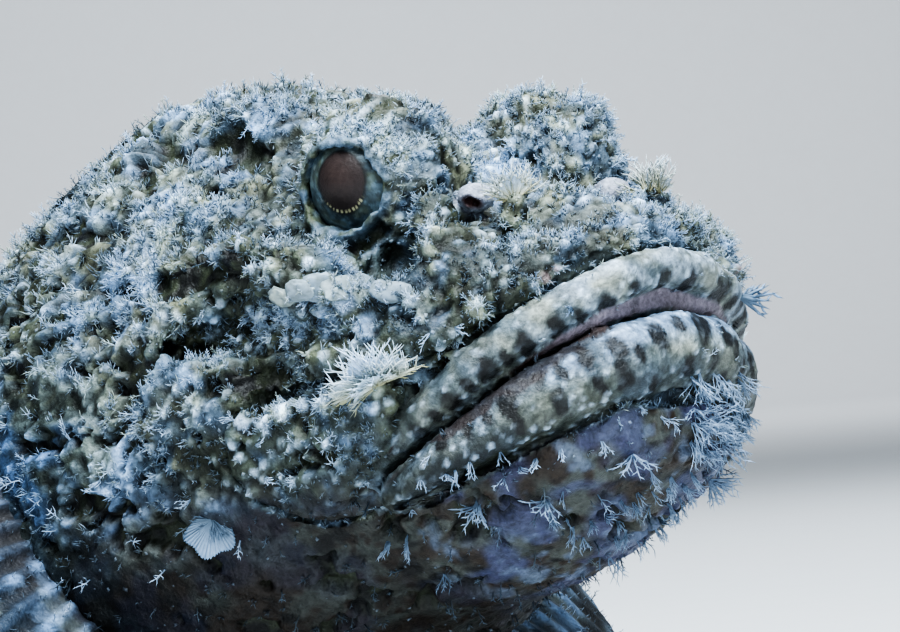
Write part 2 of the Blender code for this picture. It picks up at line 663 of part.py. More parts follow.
    fin("dorsal_fin_spiny", spiny_rays(), 0.3, ["trunk", "head", "tail_stock"], bow=bow_up, rows=4, thick=2.0, thin=0.9)
    fin("dorsal_fin_soft", soft_rays(), 0.10, ["trunk", "tail_stock", "dorsal_fin_spiny"], bow=bow_back)
    fin("anal_fin", anal_rays(), 0.12, ["trunk", "tail_stock"])
    fin("caudal_fin", caudal_rays(), 0.05, ["tail_stock"])
    for name, s in sides():
        fin("pectoral_fin_" + name, pectoral_rays(s), 0.09, ["trunk", "head"], bow=bow_down(s), rows=4, thick=2.2, thin=0.9)
        fin("pelvic_fin_" + name, pelvic_rays(s), 0.10, ["trunk", "head"])

    trees = [BVHTree.FromPolygons([v.co / MM for v in pieces[name].data.vertices],
                                  [tuple(f.vertices) for f in pieces[name].data.polygons])
             for name in ("head", "upper_jaw", "lower_jaw")]
    for key, (near, way, face, length, spread, fingers) in FLAPS.items():
        for name, s in sides():
            turned = [Vector((p[0], -s * p[1], p[2])) for p in (near, way, face)]
            ray = turned[1].normalized()
            hits = [h for h in (tree.ray_cast(turned[0] + ray * 20.0, -ray) for tree in trees) if h[0] is not None]
            root = min(hits, key=lambda h: h[3])[0]
            obj = flap(key + "_" + name, root, ray, turned[2], length, spread, fingers, fish)
            lift_clear(obj, ray, trees)
            obj.data.materials.append(flaps)

    for obj in list(cutters.objects):
        obj.hide_render = True
        obj.display_type = "WIRE"


main()
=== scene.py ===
"""A false stonefish at rest: one skin over the whole body, fins, eyes, and a coat of small skin filaments."""
import math

import bmesh
import bpy
import numpy as np
from mathutils import Matrix, Vector
from mathutils.bvhtree import BVHTree


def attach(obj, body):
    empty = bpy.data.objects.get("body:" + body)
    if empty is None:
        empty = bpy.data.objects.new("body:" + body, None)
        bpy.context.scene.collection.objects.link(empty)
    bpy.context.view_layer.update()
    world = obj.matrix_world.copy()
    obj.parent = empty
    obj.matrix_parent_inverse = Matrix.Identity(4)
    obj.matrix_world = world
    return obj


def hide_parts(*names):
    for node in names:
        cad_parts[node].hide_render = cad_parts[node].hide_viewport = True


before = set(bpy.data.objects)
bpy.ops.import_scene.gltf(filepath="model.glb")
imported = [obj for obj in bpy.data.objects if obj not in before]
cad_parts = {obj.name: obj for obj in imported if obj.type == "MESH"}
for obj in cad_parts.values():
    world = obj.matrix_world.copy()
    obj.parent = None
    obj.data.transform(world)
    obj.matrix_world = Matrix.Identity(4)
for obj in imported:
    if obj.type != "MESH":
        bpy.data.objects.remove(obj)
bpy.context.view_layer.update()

MM = 0.001
RNG = np.random.default_rng(7)

# ---------------------------------------------------------------- camera: the photograph's angle and framing
AZIMUTH, ELEVATION, ROLL = 45.77, -0.68, -4.73
FOCAL, TARGET, DISTANCE = 4.67, (73.7, -20.0, 52.41), 450.0
WIDTH, HEIGHT = 900, 632


def camera_axes():
    a, e, r = (math.radians(v) for v in (AZIMUTH, ELEVATION, ROLL))
    back = np.array([math.sin(a) * math.cos(e), -math.cos(a) * math.cos(e), math.sin(e)])
    right = np.cross(-back, [0, 0, 1])
    right /= np.linalg.norm(right)
    up = np.cross(right, -back)
    return back, math.cos(r) * right + math.sin(r) * up, -math.sin(r) * right + math.cos(r) * up


BACK, RIGHT, UP = camera_axes()
EYE_POINT = np.array(TARGET) + BACK * DISTANCE
camera_data = bpy.data.cameras.new("camera")
camera_data.lens = 36 * FOCAL
camera_data.sensor_width = 36
camera_data.clip_start = 0.01
camera = bpy.data.objects.new("camera", camera_data)
bpy.context.scene.collection.objects.link(camera)
c = EYE_POINT * MM
camera.matrix_world = Matrix(((RIGHT[0], UP[0], BACK[0], c[0]), (RIGHT[1], UP[1], BACK[1], c[1]),
                              (RIGHT[2], UP[2], BACK[2], c[2]), (0, 0, 0, 1)))
bpy.context.scene.camera = camera


def pixel_ray(px, py):
    d = -BACK * FOCAL * WIDTH + RIGHT * (px - WIDTH / 2) + UP * (HEIGHT / 2 - py)
    return d / np.linalg.norm(d)


# ---------------------------------------------------------------- noise
def lattice(i, j, k, seed):
    n = (i * 73856093) ^ (j * 19349663) ^ (k * 83492791) ^ (seed * 2654435761)
    n &= 0xFFFFFFFF
    n = ((n ^ (n >> 13)) * 1274126177) & 0xFFFFFFFF
    n = ((n ^ (n >> 15)) * 2246822519) & 0xFFFFFFFF
    n ^= n >> 16
    return (n & 0xFFFFFF).astype(np.float32) / 16777215.0


def value_noise(p, size, seed=0):
    """Smooth noise from 0 to 1 with features about size mm across."""
    q = p / size
    i = np.floor(q).astype(np.int64)
    f = (q - i).astype(np.float32)
    f = f * f * (3 - 2 * f)
    out = np.zeros(len(p), np.float32)
    for a in (0, 1):
        wa = f[:, 0] if a else 1 - f[:, 0]
        for b in (0, 1):
            wb = f[:, 1] if b else 1 - f[:, 1]
            for c_ in (0, 1):
                wc = f[:, 2] if c_ else 1 - f[:, 2]
                out += wa * wb * wc * lattice(i[:, 0] + a, i[:, 1] + b, i[:, 2] + c_, seed)
    return out


def cloud(p, size, seed=0, octaves=3):
    total, weight, out = 0.0, 1.0, 0.0
    for o in range(octaves):
        out = out + weight * value_noise(p + 17.3 * o, size / 2**o, seed + 31 * o)
        total += weight
        weight *= 0.55
    return out / total


def cells(p, size, seed=0):
    """Distance to the nearest of scattered points, in cells, and that point's own random number."""
    q = p / size
    i = np.floor(q).astype(np.int64)
    best = np.full(len(p), 9.0, np.float32)
    own = np.zeros(len(p), np.float32)
    for a in (-1, 0, 1):
        for b in (-1, 0, 1):
            for c_ in (-1, 0, 1):
                ii, jj, kk = i[:, 0] + a, i[:, 1] + b, i[:, 2] + c_
                dx = ii + lattice(ii, jj, kk, seed + 1) - q[:, 0]
                dy = jj + lattice(ii, jj, kk, seed + 2) - q[:, 1]
                dz = kk + lattice(ii, jj, kk, seed + 3) - q[:, 2]
                d = np.sqrt(dx * dx + dy * dy + dz * dz)
                near = d < best
                own = np.where(near, lattice(ii, jj, kk, seed + 4), own)
                best = np.where(near, d, best)
    return best, own


def step(low, high, v):
    t = np.clip((v - low) / (high - low), 0, 1)
    return t * t * (3 - 2 * t)


# ---------------------------------------------------------------- the body's shape (mm)
SNOUT_X = 91.0
TAIL_X = SNOUT_X - 200.0
CAUDAL_LENGTH = 43.0
SECTIONS = [
    (87.0, 41.0, 55.5, 8.0, 49.0, 2.2, 2.2), (82.0, 31.5, 59.0, 15.0, 47.5, 2.2, 2.1), (76.0, 26.0, 62.0, 20.0, 46.0, 2.3, 2.1),
    (66.0, 22.5, 66.0, 24.5, 44.5, 2.3, 2.1), (56.0, 19.5, 70.5, 28.0, 43.0, 2.2, 2.1), (46.0, 14.5, 75.0, 31.0, 42.5, 1.9, 2.2),
    (34.0, 7.5, 79.6, 33.5, 42.0, 1.75, 2.3), (20.0, 1.8, 82.2, 34.0, 41.0, 1.65, 2.4), (5.0, -0.6, 77.0, 32.5, 39.0, 1.6, 2.5),
    (-10.0, -0.9, 70.2, 29.5, 36.5, 1.65, 2.4), (-25.0, -0.6, 62.6, 25.5, 34.0, 1.75, 2.3), (-40.0, 1.6, 55.2, 20.5, 31.5, 1.85, 2.2),
    (-55.0, 4.6, 47.6, 15.5, 29.0, 2.0, 2.1), (-70.0, 7.8, 40.6, 11.0, 26.0, 2.0, 2.0), (-84.0, 10.2, 35.2, 7.6, 24.0, 2.0, 2.0),
    (-96.0, 11.4, 32.6, 5.4, 22.6, 2.0, 2.0), (-108.0, 10.6, 34.0, 3.6, 22.4, 2.0, 2.0),
]
BEND_START, BEND_RATE = 16.0, 0.0021
EYE_CENTRE, EYE_RADIUS, EYE_AXIS = np.array([57.3, -13.7, 68.4]), 7.6, np.array([0.15, -0.989, 0.0])
EYE_OPENING = 5.7
EYE_LOOK = np.array([0.235, -0.971, -0.03])

LOBES = [  # centre, radii, turn about Y, blend
    ((56.2, -12.0, 67.2), (11.4, 8.4, 8.8), 0, 3.0),      # orbit mound
    ((55.6, -12.6, 73.3), (9.6, 6.0, 3.4), -4, 2.5),      # brow crest
    ((60.3, -12.0, 69.4), (4.2, 5.0, 4.6), 0, 2.5),       # front of the brow
    ((36.0, -9.0, 76.0), (9.0, 5.0, 3.6), 6, 3.0),        # nape crest
    ((72.0, -17.6, 56.4), (6.5, 6.0, 5.6), 20, 3.0),      # cheek bone in front of the eye
    ((60.0, -26.0, 39.6), (12.5, 3.2, 6.2), -32, 1.6),    # blade of the upper jaw
    ((39.0, -24.5, 45.0), (17.0, 9.6, 14.0), 0, 4.0),     # cheek
    ((22.0, -25.0, 39.0), (17.0, 10.5, 20.0), 0, 4.0),    # gill cover
    ((10.0, -26.5, 28.0), (9.0, 7.4, 18.0), 22, 4.0),     # base of the pectoral fin
    ((75.5, 0.0, 60.4), (8.5, 7.5, 4.5), 10, 3.0),        # snout hump
    ((74.0, 0.0, 37.6), (13.6, 12.6, 10.4), -18, 3.0),    # chin
    ((60.0, 0.0, 33.0), (16.0, 16.5, 12.0), -14, 4.0),    # throat
]
RIDGES = {  # points with radius, then the blend
    "lachrymal_edge": ([(83.4, 0, 58.6, 3.0), (82.6, -7, 58.2, 3.0), (80.4, -12.4, 56.4, 3.2), (77.0, -17.0, 54.2, 3.6),
                        (72.4, -21.0, 51.8, 4.0), (67.0, -23.8, 49.8, 3.8), (61.0, -26.0, 48.2, 3.0)], 2.5),
    "cheek_ridge": ([(70.5, -21.6, 55.0, 2.8), (65.0, -24.2, 55.4, 3.2), (57.5, -26.4, 57.8, 3.5), (49.0, -27.4, 59.6, 3.0),
                     (38.0, -26.6, 60.4, 2.0)], 2.2),
    "nasal_column": ([(69.0, -16.6, 63.2, 2.4), (69.4, -18.4, 59.4, 2.8), (70.4, -19.8, 55.6, 3.0)], 1.4),
    "lip_base": ([(84.4, 0, 39.6, 4.6), (82.8, -6.4, 38.8, 4.6), (79.2, -11.4, 37.2, 4.4), (73.8, -15.8, 34.6, 4.0)], 2.5),
    "upper_lip": ([(86.8, 0, 55.9, 2.3), (86.0, -6, 55.0, 2.3), (84.0, -11.8, 52.8, 2.3), (80.8, -16.2, 50.0, 2.3),
                   (76.2, -19.8, 46.3, 2.3), (70.6, -22.4, 41.5, 2.2), (65.4, -23.8, 35.8, 1.9)], 0.9),
    "lower_lip": ([(86.6, 0, 47.1, 4.3), (85.6, -6.2, 45.9, 4.3), (83.2, -11.4, 44.0, 4.2), (79.3, -15.9, 41.5, 3.9),
                   (73.8, -20.4, 37.7, 3.3), (66.8, -22.9, 33.8, 2.3)], 1.0),
}
GAPE_UPPER = [(65.6, 34.7), (66.8, 36.5), (73.8, 41.5), (79.3, 45.8), (83.2, 48.6), (85.6, 50.6), (86.6, 51.7), (91.0, 53.1), (100, 53.4)]
GAPE_LOWER = [(65.6, 34.4), (66.8, 36.1), (73.8, 41.1), (79.3, 45.4), (83.2, 48.2), (85.6, 50.2), (86.6, 51.3), (91.0, 52.7), (100, 53.0)]
LIP_GROOVE = [(93.0, 59.4), (88.0, 59.0), (86.0, 58.0), (83.4, 55.4), (80.2, 52.7), (76.0, 49.4), (68.0, 47.3), (58.0, 46.0), (50.0, 43.6)]
MAXILLA_EDGE = [(50.0, 43.4), (48.2, 38.4), (50.0, 34.0), (56.0, 31.2), (61.4, 31.8), (65.6, 33.9)]
LIP_UNDER = [(93.0, 42.2), (86.6, 41.4), (83.0, 39.2), (79.0, 37.2), (74.0, 34.8), (67.0, 32.4)]
PALATE = [(20.0, 24.4), (62.0, 21.6), (69.0, 18.8), (75.0, 15.4), (79.4, 11.0), (81.8, 6.0), (82.4, 0.0)]
BUBBLE = ((69.9, -10.9, 65.2), (2.2, 2.0, 1.6), 10)      # hind nostril, right side
GILL_EDGE = [(15.0, 78.0), (8.0, 62.0), (3.5, 48.0), (5.5, 34.0), (13.0, 20.0), (23.0, 9.0)]


def section(x):
    table = np.array(SECTIONS, float)[::-1]
    knots, columns = table[:, 0], table[:, 1:]
    slopes = np.gradient(columns, knots, axis=0)
    i = int(np.clip(np.searchsorted(knots, x) - 1, 0, len(knots) - 2))
    h = knots[i + 1] - knots[i]
    t = (x - knots[i]) / h
    return ((2 * t**3 - 3 * t**2 + 1) * columns[i] + (t**3 - 2 * t**2 + t) * h * slopes[i]
            + (-2 * t**3 + 3 * t**2) * columns[i + 1] + (t**3 - t**2) * h * slopes[i + 1])


def bend(p):
    p = np.array(p, float)
    d = np.maximum(0.0, BEND_START - p[..., 0])
    p[..., 1] += BEND_RATE * d * d
    return p


def unbend(p):
    p = np.array(p, float)
    d = np.maximum(0.0, BEND_START - p[..., 0])
    p[..., 1] -= BEND_RATE * d * d
    return p


def smin(a, b, k):
    h = np.clip(0.5 + 0.5 * (b - a) / k, 0, 1)
    return b + (a - b) * h - k * h * (1 - h)


def smax(a, b, k):
    return -smin(-a, -b, k)


FINE = 0.42


def grid_axes():
    xs, x = [], -111.0
    while x < 93.5:
        xs.append(x)
        coarse = 0.98
        x += coarse + (FINE - coarse) * float(np.clip((x - 6) / 26, 0, 1))
    h = FINE * 1.05
    ys = np.arange(-int(38 / h), 1) * h
    zs = np.arange(-1.5, 86.0, h)
    return np.array(xs), ys, zs


def box_of(low, high, margin, xs, ys, zs):
    sl = []
    for axis, values in zip(range(3), (xs, ys, zs)):
        a = int(np.searchsorted(values, low[axis] - margin))
        b = int(np.searchsorted(values, high[axis] + margin)) + 1
        sl.append(slice(max(0, a - 1), min(len(values), b)))
    return tuple(sl)


def ellipsoid_field(X, Y, Z, centre, radii, turn):
    x, y, z = X - centre[0], Y - centre[1], Z - centre[2]
    t = math.radians(turn)
    xl = x * math.cos(t) - z * math.sin(t)
    zl = x * math.sin(t) + z * math.cos(t)
    k0 = np.sqrt((xl / radii[0]) ** 2 + (y / radii[1]) ** 2 + (zl / radii[2]) ** 2)
    k1 = np.sqrt((xl / radii[0] ** 2) ** 2 + (y / radii[1] ** 2) ** 2 + (zl / radii[2] ** 2) ** 2) + 1e-6
    return k0 * (k0 - 1) / k1


def chain_field(X, Y, Z, points):
    best = None
    for (ax, ay, az, ar), (bx, by, bz, br) in zip(points, points[1:]):
        ux, uy, uz = bx - ax, by - ay, bz - az
        n = ux * ux + uy * uy + uz * uz
        t = np.clip(((X - ax) * ux + (Y - ay) * uy + (Z - az) * uz) / n, 0, 1)
        d = np.sqrt((X - ax - t * ux) ** 2 + (Y - ay - t * uy) ** 2 + (Z - az - t * uz) ** 2) - (ar + (br - ar) * t)
        best = d if best is None else smin(best, d, 0.6)
    return best


def line_distance(A, B, points):
    """Distance in a plane to a chain of straight lines."""
    best = None
    for (ax, ay), (bx, by) in zip(points, points[1:]):
        ux, uy = bx - ax, by - ay
        t = np.clip(((A - ax) * ux + (B - ay) * uy) / (ux * ux + uy * uy), 0, 1)
        d = np.sqrt((A - ax - t * ux) ** 2 + (B - ay - t * uy) ** 2)
        best = d if best is None else np.minimum(best, d)
    return best


def eye_reach(across, z):
    """How far out across the eye a place is. The opening is lower than it is wide, because the upper lid hangs over it."""
    flat = np.maximum(0, across * across - z * z)
    return EYE_OPENING * np.sqrt(flat / 5.5 ** 2 + ((z + 0.9) / 4.8) ** 2)


def body_field():
    """Signed distance to the skin on a grid, for the right half of the fish."""
    xs, ys, zs = grid_axes()
    Y2, Z2 = np.meshgrid(ys, zs, indexing="ij")
    Y2, Z2 = Y2.astype(np.float32), Z2.astype(np.float32)
    d = np.empty((len(xs), len(ys), len(zs)), np.float32)
    for i, x in enumerate(xs):
        low, high, half, wide, above, below = section(float(np.clip(x, -107.9, 86.9)))
        up = Z2 >= wide
        s = np.abs(Z2 - wide) / np.where(up, high - wide, wide - low)
        c_ = np.abs(Y2) / half
        power = np.where(up, above, below)
        f = (s**power + c_**power) ** (1 / power) + 1e-5
        r = np.sqrt(Y2 * Y2 + (Z2 - wide) ** 2)
        d[i] = np.where(r < 1e-3, -min(half, high - wide), r * (1 - 1 / f))
        if x > 86.0:
            d[i] = np.maximum(d[i], x - 86.0 + 0.1)
        if x < -107.0:
            d[i] = np.maximum(d[i], -107.0 - x)
    X3, Y3, Z3 = (a.astype(np.float32) for a in np.meshgrid(xs, ys, zs, indexing="ij", sparse=True))

    def local(low, high, margin):
        sl = box_of(low, high, margin, xs, ys, zs)
        return sl, X3[sl[0]], Y3[:, sl[1]], Z3[:, :, sl[2]]

    for centre, radii, turn, k in LOBES:
        reach = max(radii[0], radii[2])
        sl, X, Y, Z = local([centre[0] - reach, centre[1] - radii[1], centre[2] - reach],
                            [centre[0] + reach, centre[1] + radii[1], centre[2] + reach], 5)
        d[sl] = smin(d[sl], ellipsoid_field(X, Y, Z, centre, radii, turn), k)

    def add_chain(points, k, margin=5):
        p = np.array(points)
        sl, X, Y, Z = local(p[:, :3].min(0), p[:, :3].max(0), margin + p[:, 3].max())
        d[sl] = smin(d[sl], chain_field(X, Y, Z, points), k)

    for name in ("lachrymal_edge", "cheek_ridge", "nasal_column", "lip_base"):
        add_chain(*RIDGES[name])

    # hollows before the eye, behind the brows and under the brow
    def carve(centre, radii, turn, k, reach=6):
        m = max(radii)
        sl, X, Y, Z = local([v - m for v in centre], [v + m for v in centre], reach)
        d[sl] = smax(d[sl], -ellipsoid_field(X, Y, Z, centre, radii, turn), k)

    carve((66.0, -21.6, 58.9), (5.0, 7.6, 3.9), -10, 1.4)
    carve((63.4, -22.8, 62.4), (3.2, 3.0, 3.0), 0, 1.6)
    carve((41.0, 0.0, 83.0), (10.0, 9.0, 6.0), 0, 3.0)
    carve((49.5, 0.0, 80.5), (12.0, 4.6, 5.6), 0, 3.0)
    carve((70.0, -8.5, 68.8), (3.6, 4.6, 3.0), 0, 2.0)
    carve((47.0, -29.5, 52.6), (9.0, 3.6, 3.4), -8, 2.4)
    carve((40.0, -22.0, 70.5), (8.0, 4.0, 3.2), 8, 2.4)

    # eye: a lid swelling round the ball, an opening in it and a raised rim
    e, ax = EYE_CENTRE, EYE_AXIS / np.linalg.norm(EYE_AXIS)
    sl, X, Y, Z = local(e - 11, e + 11, 3)
    x, y, z = X - e[0], Y - e[1], Z - e[2]
    along = x * ax[0] + y * ax[1] + z * ax[2]
    r3 = np.sqrt(x * x + y * y + z * z)
    across = np.sqrt(np.maximum(0, r3 * r3 - along * along))
    part = smin(d[sl], r3 - (EYE_RADIUS + 0.45), 2.5)
    across = eye_reach(across, z)
    hole = np.maximum(across - EYE_OPENING, 3.5 - along)
    part = smax(part, -hole, 0.5)
    part = smax(part, -(r3 - (EYE_RADIUS - 0.12)), 0.3)
    rim = np.sqrt((across - (EYE_OPENING + 0.6)) ** 2 + (r3 - EYE_RADIUS - 0.3) ** 2) - 0.66
    d[sl] = smin(part, rim, 0.8)

    # lips, each a tube blended into what it grows from
    for name, crease in (("lower_lip", 0.9), ("upper_lip", 0.8)):
        points, k = RIDGES[name]
        p = np.array(points)
        sl, X, Y, Z = local(p[:, :3].min(0), p[:, :3].max(0), 5 + p[:, 3].max())
        tube = chain_field(X, Y, Z, points)
        d[sl] = smin(d[sl], tube, k)

    # the mouth: a slot back to the smooth valve behind the lips
    sl, X, Y, Z = local([60, -30, 28], [95, 1, 60], 0)
    up = np.interp(X.ravel(), *np.array(GAPE_UPPER).T).reshape(X.shape).astype(np.float32)
    lo = np.interp(X.ravel(), *np.array(GAPE_LOWER).T).reshape(X.shape).astype(np.float32)
    slab = (np.abs(Z - (up + lo) / 2) - (up - lo) / 2 - 0.15) * 0.8
    slab = np.maximum(slab, 65.0 - X)
    XX, YY = np.broadcast_arrays(X[:, :, 0], Y[:, :, 0])
    plan = line_distance(XX, -YY, PALATE)
    edge = np.interp(XX, [p[0] for p in PALATE], [p[1] for p in PALATE], right=-1)
    plan = np.where((-YY < edge) & (XX < 82.4), -plan, plan)[:, :, None].astype(np.float32)
    d[sl] = smax(d[sl], -np.maximum(slab, 0.4 - plan), 0.7)

    # creases: a groove of a given width and depth along a line seen from the side
    def groove(line, width, depth, k=0.5, low_y=None):
        a = np.array(line)
        sl, X, Y, Z = local([a[:, 0].min(), -40, a[:, 1].min()], [a[:, 0].max(), 0, a[:, 1].max()], 3)
        g = line_distance(X[:, :, 0][:, :, None] + 0 * Z, Z + 0 * X, line) - width
        g = np.maximum(g, -(d[sl] + depth))
        if low_y is not None:
            g = np.maximum(g, Y + low_y)
        d[sl] = smax(d[sl], -g, k)

    groove(LIP_GROOVE, 0.35, 1.7)
    groove(MAXILLA_EDGE, 0.28, 1.1, low_y=14.0)
    groove(LIP_UNDER, 0.3, 1.2)
    groove(GILL_EDGE, 0.4, 1.6, k=1.0, low_y=8.0)

    # nostrils: a bubble-like hind one with a dark slit, and a short tube in front
    sl, X, Y, Z = local([64, -15, 60], [80, -5, 72], 3)
    bubble = ellipsoid_field(X, Y, Z, *BUBBLE)
    tube = chain_field(X, Y, Z, [(75.4, -10.6, 59.5, 1.6), (75.7, -11.0, 62.6, 1.25), (75.9, -11.3, 64.2, 1.45)])
    part = smin(smin(d[sl], bubble, 0.4), tube, 1.0)
    slit = ellipsoid_field(X, Y, Z, (70.6, -12.3, 64.6), (0.95, 1.1, 0.5), 20)
    bore = chain_field(X, Y, Z, [(75.7, -11.0, 62.0, 0.6), (76.0, -11.4, 65.5, 1.0)])
    d[sl] = smax(smax(part, -slit, 0.3), -bore, 0.3)

    full = np.concatenate([d, d[:, -2::-1]], axis=1)
    return full, xs, np.concatenate([ys, -ys[-2::-1]]), zs


def surface_nets(d, xs, ys, zs):
    """Turns a signed field on a grid into a closed quad mesh."""
    inside = d < 0
    shape = tuple(n - 1 for n in d.shape)
    count = np.zeros(shape, np.uint8)
    corners = [(a, b, c_) for a in (0, 1) for b in (0, 1) for c_ in (0, 1)]
    for a, b, c_ in corners:
        count += inside[a:a + shape[0], b:b + shape[1], c_:c_ + shape[2]]
    mixed = (count > 0) & (count < 8)
    where = np.argwhere(mixed)
    index = np.full(shape, -1, np.int64)
    index[mixed] = np.arange(len(where))
    i, j, k = where.T
    value = {c_: d[i + c_[0], j + c_[1], k + c_[2]] for c_ in corners}
    total, hits = np.zeros((len(where), 3)), np.zeros(len(where))
    for a in corners:
        for axis in range(3):
            if a[axis] == 0:
                b = tuple(1 if n == axis else v for n, v in enumerate(a))
                va, vb = value[a], value[b]
                cross = (va < 0) != (vb < 0)
                t = np.where(cross, va / np.where(cross, va - vb, 1), 0)
                for n in range(3):
                    total[:, n] += np.where(cross, a[n] + (t if n == axis else 0), 0)
                hits += cross
    at = where + total / hits[:, None]
    verts = np.stack([np.interp(at[:, n], np.arange(len(v)), v) for n, v in enumerate((xs, ys, zs))], 1)
    quads = []
    for axis in range(3):
        lo = [slice(1, None)] * 3
        lo[axis] = slice(None, -1)
        hi = list(lo)
        hi[axis] = slice(1, None)
        a, b = inside[tuple(lo)], inside[tuple(hi)]
        for flip in (False, True):
            hit = (a & ~b) if not flip else (~a & b)
            p = np.argwhere(hit)
            p = p + np.array([0 if n == axis else 1 for n in range(3)])
            u, v = [n for n in range(3) if n != axis]
            ok = (p[:, u] < shape[u]) & (p[:, v] < shape[v])
            p = p[ok]

            def cell(du, dv):
                q = p.copy()
                q[:, u] += du
                q[:, v] += dv
                return index[q[:, 0], q[:, 1], q[:, 2]]

            quad = np.stack([cell(-1, -1), cell(0, -1), cell(0, 0), cell(-1, 0)], 1)
            forward = (axis != 1)
            if flip == forward:
                quad = quad[:, ::-1]
            quads.append(quad)
    quads = np.concatenate(quads)
    return verts, quads[(quads >= 0).all(1)]


def face_sums(verts, quads):
    a, b, c_, e = (verts[quads[:, n]] for n in range(4))
    n = np.cross(c_ - a, e - b)
    out = np.stack([np.bincount(quads.ravel(), np.repeat(n[:, k], 4), len(verts)) for k in range(3)], 1)
    return out / (np.linalg.norm(out, axis=1, keepdims=True) + 1e-12)


def neighbours_mean(verts, quads):
    a = quads.ravel()
    b = np.roll(quads, -1, axis=1).ravel()
    n = np.bincount(a, minlength=len(verts)) + np.bincount(b, minlength=len(verts))
    out = np.stack([np.bincount(a, verts[b, k], len(verts)) + np.bincount(b, verts[a, k], len(verts)) for k in range(3)], 1)
    return out / np.maximum(n, 1)[:, None]


def spread(values, quads, count, times):
    """Smooths numbers over the mesh."""
    a = quads.ravel()
    b = np.roll(quads, -1, axis=1).ravel()
    n = np.bincount(a, minlength=count) + np.bincount(b, minlength=count)
    for _ in range(times):
        values = (np.bincount(a, values[b], count) + np.bincount(b, values[a], count)) / np.maximum(n, 1)
    return values


def largest_part(verts, quads):
    """Drops hidden closed pockets: keeps the mesh that holds most of the faces."""
    label = np.arange(len(verts))
    a = quads.ravel()
    b = np.roll(quads, -1, axis=1).ravel()
    for _ in range(2000):
        before = label.copy()
        np.minimum.at(label, a, label[b])
        np.minimum.at(label, b, label[a])
        label = label[label]
        if (label == before).all():
            break
    names, counts = np.unique(label, return_counts=True)
    keep = label == names[counts.argmax()]
    new = np.cumsum(keep) - 1
    return verts[keep], new[quads[keep[quads].all(1)]]


# ---------------------------------------------------------------- colours
def rgb(r, g, b):
    c_ = np.array([r, g, b], float) / 255
    return np.where(c_ <= 0.04045, c_ / 12.92, ((c_ + 0.055) / 1.055) ** 2.4)


def mix(a, b, t):
    t = np.asarray(t)[..., None]
    return a * (1 - t) + b * t


CHALK, PALE, GREY = rgb(196, 217, 240), rgb(138, 165, 196), rgb(88, 106, 122)
CREAM, TAN, OLIVE = rgb(168, 176, 156), rgb(112, 112, 86), rgb(64, 70, 54)
BROWN, BLACK, MAUVE = rgb(66, 54, 44), rgb(17, 17, 18), rgb(120, 96, 104)
YELLOW = rgb(196, 180, 108)

# marks that are placed as they are seen: pixel of the photograph's frame and width in pixels
NOTCHES = [
    (303, 357, 34), (274, 346, 16), (267, 382, 36), (211, 393, 30), (228, 304, 14), (206, 299, 14), (147, 310, 26), (119, 318, 18),
    (103, 293, 22), (133, 296, 18), (92, 329, 16), (69, 363, 30), (83, 374, 18), (289, 215, 14), (269, 210, 16), (262, 230, 24),
    (242, 243, 18), (226, 240, 16), (200, 249, 18), (217, 260, 22), (164, 268, 18), (252, 165, 14), (462, 218, 14), (442, 175, 14), (478, 178, 10), (450, 205, 10),
    (507, 144, 18), (532, 160, 22), (502, 167, 16), (548, 155, 14), (520, 152, 16), (600, 150, 10), (575, 175, 10), (412, 150, 10), (188, 238, 14), (148, 250, 14), (170, 350, 16), (232, 345, 16), (240, 452, 12),
    (132, 432, 22), (160, 470, 22), (96, 440, 18), (60, 470, 20), (190, 440, 14), (120, 520, 20), (300, 385, 12), (285, 250, 10),
    (180, 330, 12), (250, 285, 12), (372, 262, 12), (315, 262, 10), (340, 255, 10),
]
CLUSTERS = [
    (200, 168, 30), (247, 163, 26), (258, 138, 22), (280, 141, 16), (75, 263, 26), (607, 237, 16), (587, 225, 18), (552, 212, 16),
    (522, 290, 26), (567, 272, 20), (540, 285, 16), (160, 180, 20), (110, 215, 24), (220, 205, 22), (300, 110, 18), (480, 262, 14),
    (385, 118, 18), (440, 130, 14), (300, 320, 22), (340, 312, 14), (250, 400, 20), (190, 360, 22), (130, 380, 24), (430, 360, 12),
    (520, 150, 16), (560, 140, 18), (590, 165, 14), (660, 250, 12), (640, 225, 12), (700, 262, 10), (60, 320, 24), (180, 300, 18),
]
UPPER_BARS = [(752, 352, 12), (750, 335, 11), (743, 319, 11), (732, 303, 11), (715, 294, 12), (689, 284, 13), (664, 283, 12), (636, 290, 9),
              (607, 305, 13), (582, 318, 9), (558, 330, 13), (527, 347, 13), (508, 360, 9), (490, 373, 13), (470, 388, 9), (452, 403, 12),
              (436, 418, 9), (421, 434, 11), (407, 452, 9)]
LOWER_BARS = [(738, 350, 10), (727, 335, 12), (702, 328, 15), (680, 323, 9), (660, 335, 15), (640, 350, 9), (617, 345, 12), (624, 374, 13),
              (585, 357, 13), (600, 385, 9), (560, 372, 10), (508, 405, 12), (538, 382, 9), (463, 424, 12), (486, 414, 8), (440, 440, 9),
              (560, 402, 10), (690, 365, 10), (655, 385, 9), (715, 362, 10), (520, 425, 9)]
BELLY_PATCHES = [
    (552, 519, 30), (577, 522, 22), (602, 497, 24), (535, 547, 22), (549, 549, 18), (652, 441, 16), (530, 494, 16), (469, 538, 26),
    (410, 566, 30), (391, 591, 20), (502, 549, 16), (463, 560, 18), (625, 480, 18), (580, 470, 12), (500, 510, 14), (440, 520, 14),
    (360, 560, 24), (330, 585, 22), (430, 590, 26), (300, 560, 18), (500, 580, 20), (560, 560, 16), (680, 430, 12), (590, 545, 16),
]
CREAM_SPOTS = [(322, 290, 34), (372, 290, 36), (294, 296, 14), (475, 310, 26), (520, 226, 30), (545, 277, 20), (735, 270, 14),
               (375, 388, 22), (280, 410, 30), (330, 402, 30), (378, 392, 20), (432, 250, 18), (440, 232, 14), (430, 268, 16)]
